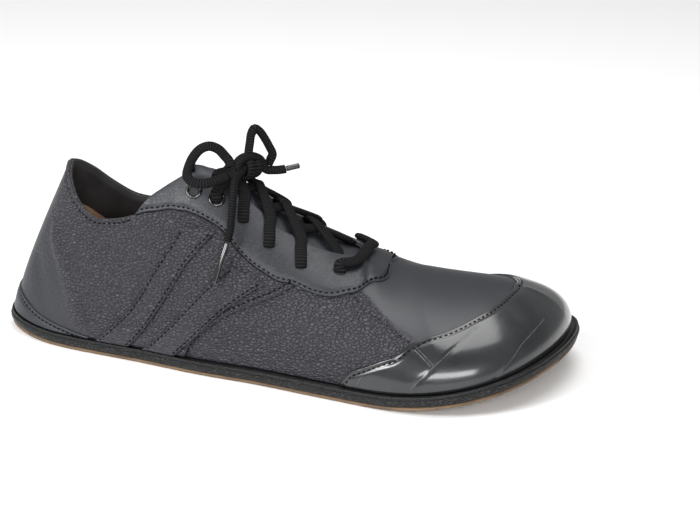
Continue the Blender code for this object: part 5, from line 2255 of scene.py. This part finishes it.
    def tip(self, name: str, route: tuple, node: str) -> bpy.types.Object:
        """The glossy tube at a lace's end.

        Args:
            name: Its name.
            route: Chosen points of the middle line.
            node: Solid that it stands for.

        Returns:
            The piece.
        """
        path = smooth_route(route, 0.8)
        outs = np.repeat([[1.0, 0.0, 0.3]], len(path), 0)
        points, faces, _ = LaceTube(2.6, 2.4, 16, 0.8, 1.0).mesh(path, outs)
        return self.maker.piece(name, MeshData(points, faces), [TipPlastic()], [node], "clear_tip")

    def build_cords(self) -> None:
        """The free laces: the knot, the two loops and the two ends, with their tips."""
        long_tip = self.tip("tip_long", self.long_tip, "aglet_long")
        short_tip = self.tip("tip_short", self.short_tip, "aglet_short")
        bow = LaceTube(4.6, 3.3, 20, 0.5, 0.9)
        knot_route = np.asarray(self.knot, float)
        parts = [self.wrap(knot_route), (self.knot, [self.knot_face] * 2)]
        faces = (self.low_face, self.low_face, self.high_face, self.high_face, self.long_face)
        parts += [(route, [self.knot_face, face]) for route, face in zip(self.ties, faces)]
        knot = self.lace("knot_wrap", parts, ["lace_knot"], LaceTube(4.7, 3.0, 20, 0.4, 0.9))
        short_end = self.over_knot + self.short_end
        plans = (
            ("loop_low_lace", self.low_loop, self.low_face, "lace_loop_low", "object", [knot]),
            ("loop_high_lace", self.high_loop, self.high_face, "lace_loop_high", "object", []),
            ("end_long_lace", self.long_end, self.long_face, "lace_end_long", "fitting", [long_tip]),
            ("end_short_lace", short_end, self.short_face, "lace_end_short", "fitting", [short_tip]),
        )
        for name, route, face, node, far_end, pieces in plans:
            item = self.lace(name, [(route, [face, face])], [node], bow)
            path = self.last.to_frame(smooth_route(route, self.path_spacing))
            bow.width * MM

    @staticmethod
    def wrap(axis: np.ndarray) -> tuple:
        """A lace wound once and a half round the line between two places.

        Args:
            axis: Points along the line that it goes round.

        Returns:
            Points, and directions of the flat face.
        """
        middle = axis.mean(0)
        ahead = axis[-1] - axis[0]
        ahead /= np.linalg.norm(ahead)
        side = np.cross(ahead, [0.0, 0.0, 1.0])
        side /= np.linalg.norm(side)
        over = np.cross(side, ahead)
        points, outs = [], []
        radius, pitch, drop = 3.6, 4.4, np.array([0, 0, 0.8])
        for turn in np.linspace(-0.6 * math.pi, 2.3 * math.pi, 19):
            reach = side * math.cos(turn) + over * math.sin(turn)
            slide = ahead * (turn / TURN - 0.4) * pitch
            points.append(middle + reach * radius + slide - drop)
            outs.append(reach)
        return points, outs

    def build(self) -> None:
        """Builds the laces over the gap and the eyelets."""
        parts = [self.bar()]
        for number in range(1, len(self.holes[Side.OUTER]) - 2):
            parts += [self.crossing(side, number) for side in Side]
        parts += [self.under_run(side) for side in Side]
        parts += [self.to_knot(side) for side in Side]
        self.lace("lacing", parts, ["lace_crossings"], self.tube)
        for side in Side:
            for number in range(self.metal_eyelets):
                self.build_eyelet(side, number)
            # the lower holes get only a disc of painted shade round the lace
            for number in range(self.metal_eyelets, len(self.holes[side])):
                self.build_hole(side, number, 2.3)


@dataclass
class Studio:
    """Pale floor, soft light and the camera at the photo's angle."""

    last: Last
    azimuth: float = 18.394
    elevation: float = 19.80
    distance: float = 1088.42
    focal_pixels: float = 2302.4
    target: tuple = (139.0, 0.0, 35.0)
    target_pixel: tuple = (282.66, 280.32)
    # where the lights point, in metres, and how bright the white world is
    aim: tuple = (0.0, 0.0, 0.03)
    world: float = 0.36

    def build_camera(self) -> None:
        """The camera, aimed so that the target falls on its pixel."""
        a, e = math.radians(self.azimuth), math.radians(self.elevation)
        back = Vector((math.sin(a) * math.cos(e), -math.cos(a) * math.cos(e), math.sin(e)))
        right = Vector((math.cos(a), math.sin(a), 0.0))
        above = back.cross(right)
        data = bpy.data.cameras.new("camera")
        data.sensor_width = 36.0
        data.lens = self.focal_pixels / PICTURE_WIDTH * data.sensor_width
        data.clip_start, data.clip_end = 0.05, 20.0
        camera = bpy.data.objects.new("camera", data)
        bpy.context.scene.collection.objects.link(camera)
        off_x = (PICTURE_WIDTH / 2 - self.target_pixel[0]) / self.focal_pixels
        off_y = (PICTURE_HEIGHT / 2 - self.target_pixel[1]) / self.focal_pixels
        view = (-back + right * off_x - above * off_y).normalized()
        sideways = view.cross(above).normalized()
        upright = sideways.cross(view)
        turn = Matrix((sideways, upright, -view)).transposed()
        camera.rotation_euler = turn.to_euler()
        place = self.last.to_frame(np.array(self.target)) + np.array(back) * self.distance * MM
        camera.location = place
        bpy.context.scene.camera = camera

    def light(self, name: str, place: tuple, size: tuple, power: float) -> None:
        """A soft rectangular light.

        Args:
            name: Its name.
            place: Where it hangs, in metres.
            size: Width and height.
            power: Watts.
        """
        data = bpy.data.lights.new(name, "AREA")
        data.shape = "RECTANGLE"
        data.size, data.size_y = size
        data.energy = power
        item = bpy.data.objects.new(name, data)
        item.location = place
        item.rotation_euler = (Vector(place) - Vector(self.aim)).to_track_quat("Z", "Y").to_euler()
        bpy.context.scene.collection.objects.link(item)

    def build(self, finishes: Finishes) -> None:
        """Floor, world and lights.

        Args:
            finishes: Store of the finishes.
        """
        size = 6.0
        mesh = bpy.data.meshes.new("floor")
        corners = [(-size, -size, 0), (size, -size, 0), (size, size, 0), (-size, size, 0)]
        mesh.from_pydata(corners, [], [[0, 1, 2, 3]])
        mesh.materials.append(finishes.get(PaleFloor()))
        floor = bpy.data.objects.new("floor", mesh)
        bpy.context.scene.collection.objects.link(floor)
        world = bpy.data.worlds.new("studio")
        world.use_nodes = True
        world.node_tree.nodes["Background"].inputs[0].default_value = (1, 1, 1, 1)
        world.node_tree.nodes["Background"].inputs[1].default_value = self.world
        bpy.context.scene.world = world
        self.light("key", (-0.75, -0.80, 0.80), (0.55, 0.45), 14.5)
        self.light("fill", (0.45, -1.05, 0.46), (1.00, 0.28), 10.5)
        self.light("top", (0.15, 0.15, 1.3), (1.0, 0.8), 11.0)
        bpy.context.scene.view_settings.view_transform = "Standard"


def creases(last: Last) -> list:
    """Soft troughs and ridges of the leather, placed one by one.

    Args:
        last: The last.

    Returns:
        The creases.
    """
    seams = Seams()
    sewn = SewnRows(last)
    found = []
    for side in Side:
        found += [Crease(side, tuple(rows[::2]), -0.50, 1.05) for rows, _ in sewn.main_rows(side)]
        found += [Crease(side, tuple(rows[::2]), -0.55, 1.10) for rows, _ in sewn.strap_rows(side)]
        found.append(Crease(side, tuple((a, 0.985) for a in np.linspace(0.0, 0.262, 20)), 0.55, 1.5))
        found.append(Crease(side, seams.counter, 0.75, 2.6))
        found.append(Crease(side, tuple((a + 0.012, u) for a, u in seams.counter), -0.35, 2.0))
        found.append(Crease(side, seams.vamp_seam[1:], -0.35, 0.9))
    outer = Side.OUTER
    found += [
        Crease(outer, ((0.404, 0.089), (0.452, 0.207), (0.513, 0.375), (0.577, 0.538)), -0.55, 3.2),
        Crease(outer, ((0.410, 0.057), (0.470, 0.173), (0.528, 0.299)), -0.5, 2.6),
        Crease(outer, ((0.437, 0.253), (0.490, 0.415), (0.546, 0.548)), -0.4, 2.8),
        Crease(outer, ((0.440, 0.050), (0.520, 0.120), (0.590, 0.190)), -0.4, 3.4),
        Crease(outer, ((0.653, 0.913), (0.645, 0.742)), -0.55, 1.2),
        Crease(outer, ((0.640, 0.930), (0.630, 0.800)), 0.35, 1.6),
        Crease(outer, ((0.805, 0.470), (0.744, 0.274), (0.691, 0.042)), -0.25, 0.9),
        Crease(outer, ((0.935, 0.395), (0.865, 0.241), (0.813, 0.031)), -0.2, 0.9),
        Crease(outer, ((0.700, 0.334), (0.722, 0.212)), -0.25, 0.8),
        Crease(outer, ((0.10, 0.93), (0.17, 0.80), (0.24, 0.74)), -0.35, 4.0),
        Crease(outer, ((0.07, 0.40), (0.10, 0.30), (0.12, 0.15)), -0.4, 4.5),
        Crease(Side.INNER, ((0.42, 0.10), (0.50, 0.25), (0.58, 0.50)), -0.5, 3.2),
        Crease(Side.INNER, ((0.45, 0.30), (0.52, 0.42), (0.60, 0.60)), -0.4, 3.0),
        Crease(Side.INNER, ((0.14, 0.80), (0.22, 0.60), (0.30, 0.50)), -0.35, 4.0),
    ]
    return found


def main() -> None:
    """Builds the shoe's looks in order."""
    logging.basicConfig(level=logging.INFO, format="%(message)s")
    last = Last()
    finishes = Finishes()
    maker = Maker(last, finishes)
    studio = Studio(last)
    studio.build_camera()
    lacing = LacingWork(last, maker)
    lacing.build_cords()
    relief = Relief(last, creases(last))
    UpperWork(last, relief, maker).build()
    TongueWork(last, maker).build()
    SoleWork(last, maker).build()
    lacing.build()
    StitchWork(last, relief, maker).build()
    studio.build(finishes)


if __name__ == "__main__":
    main()
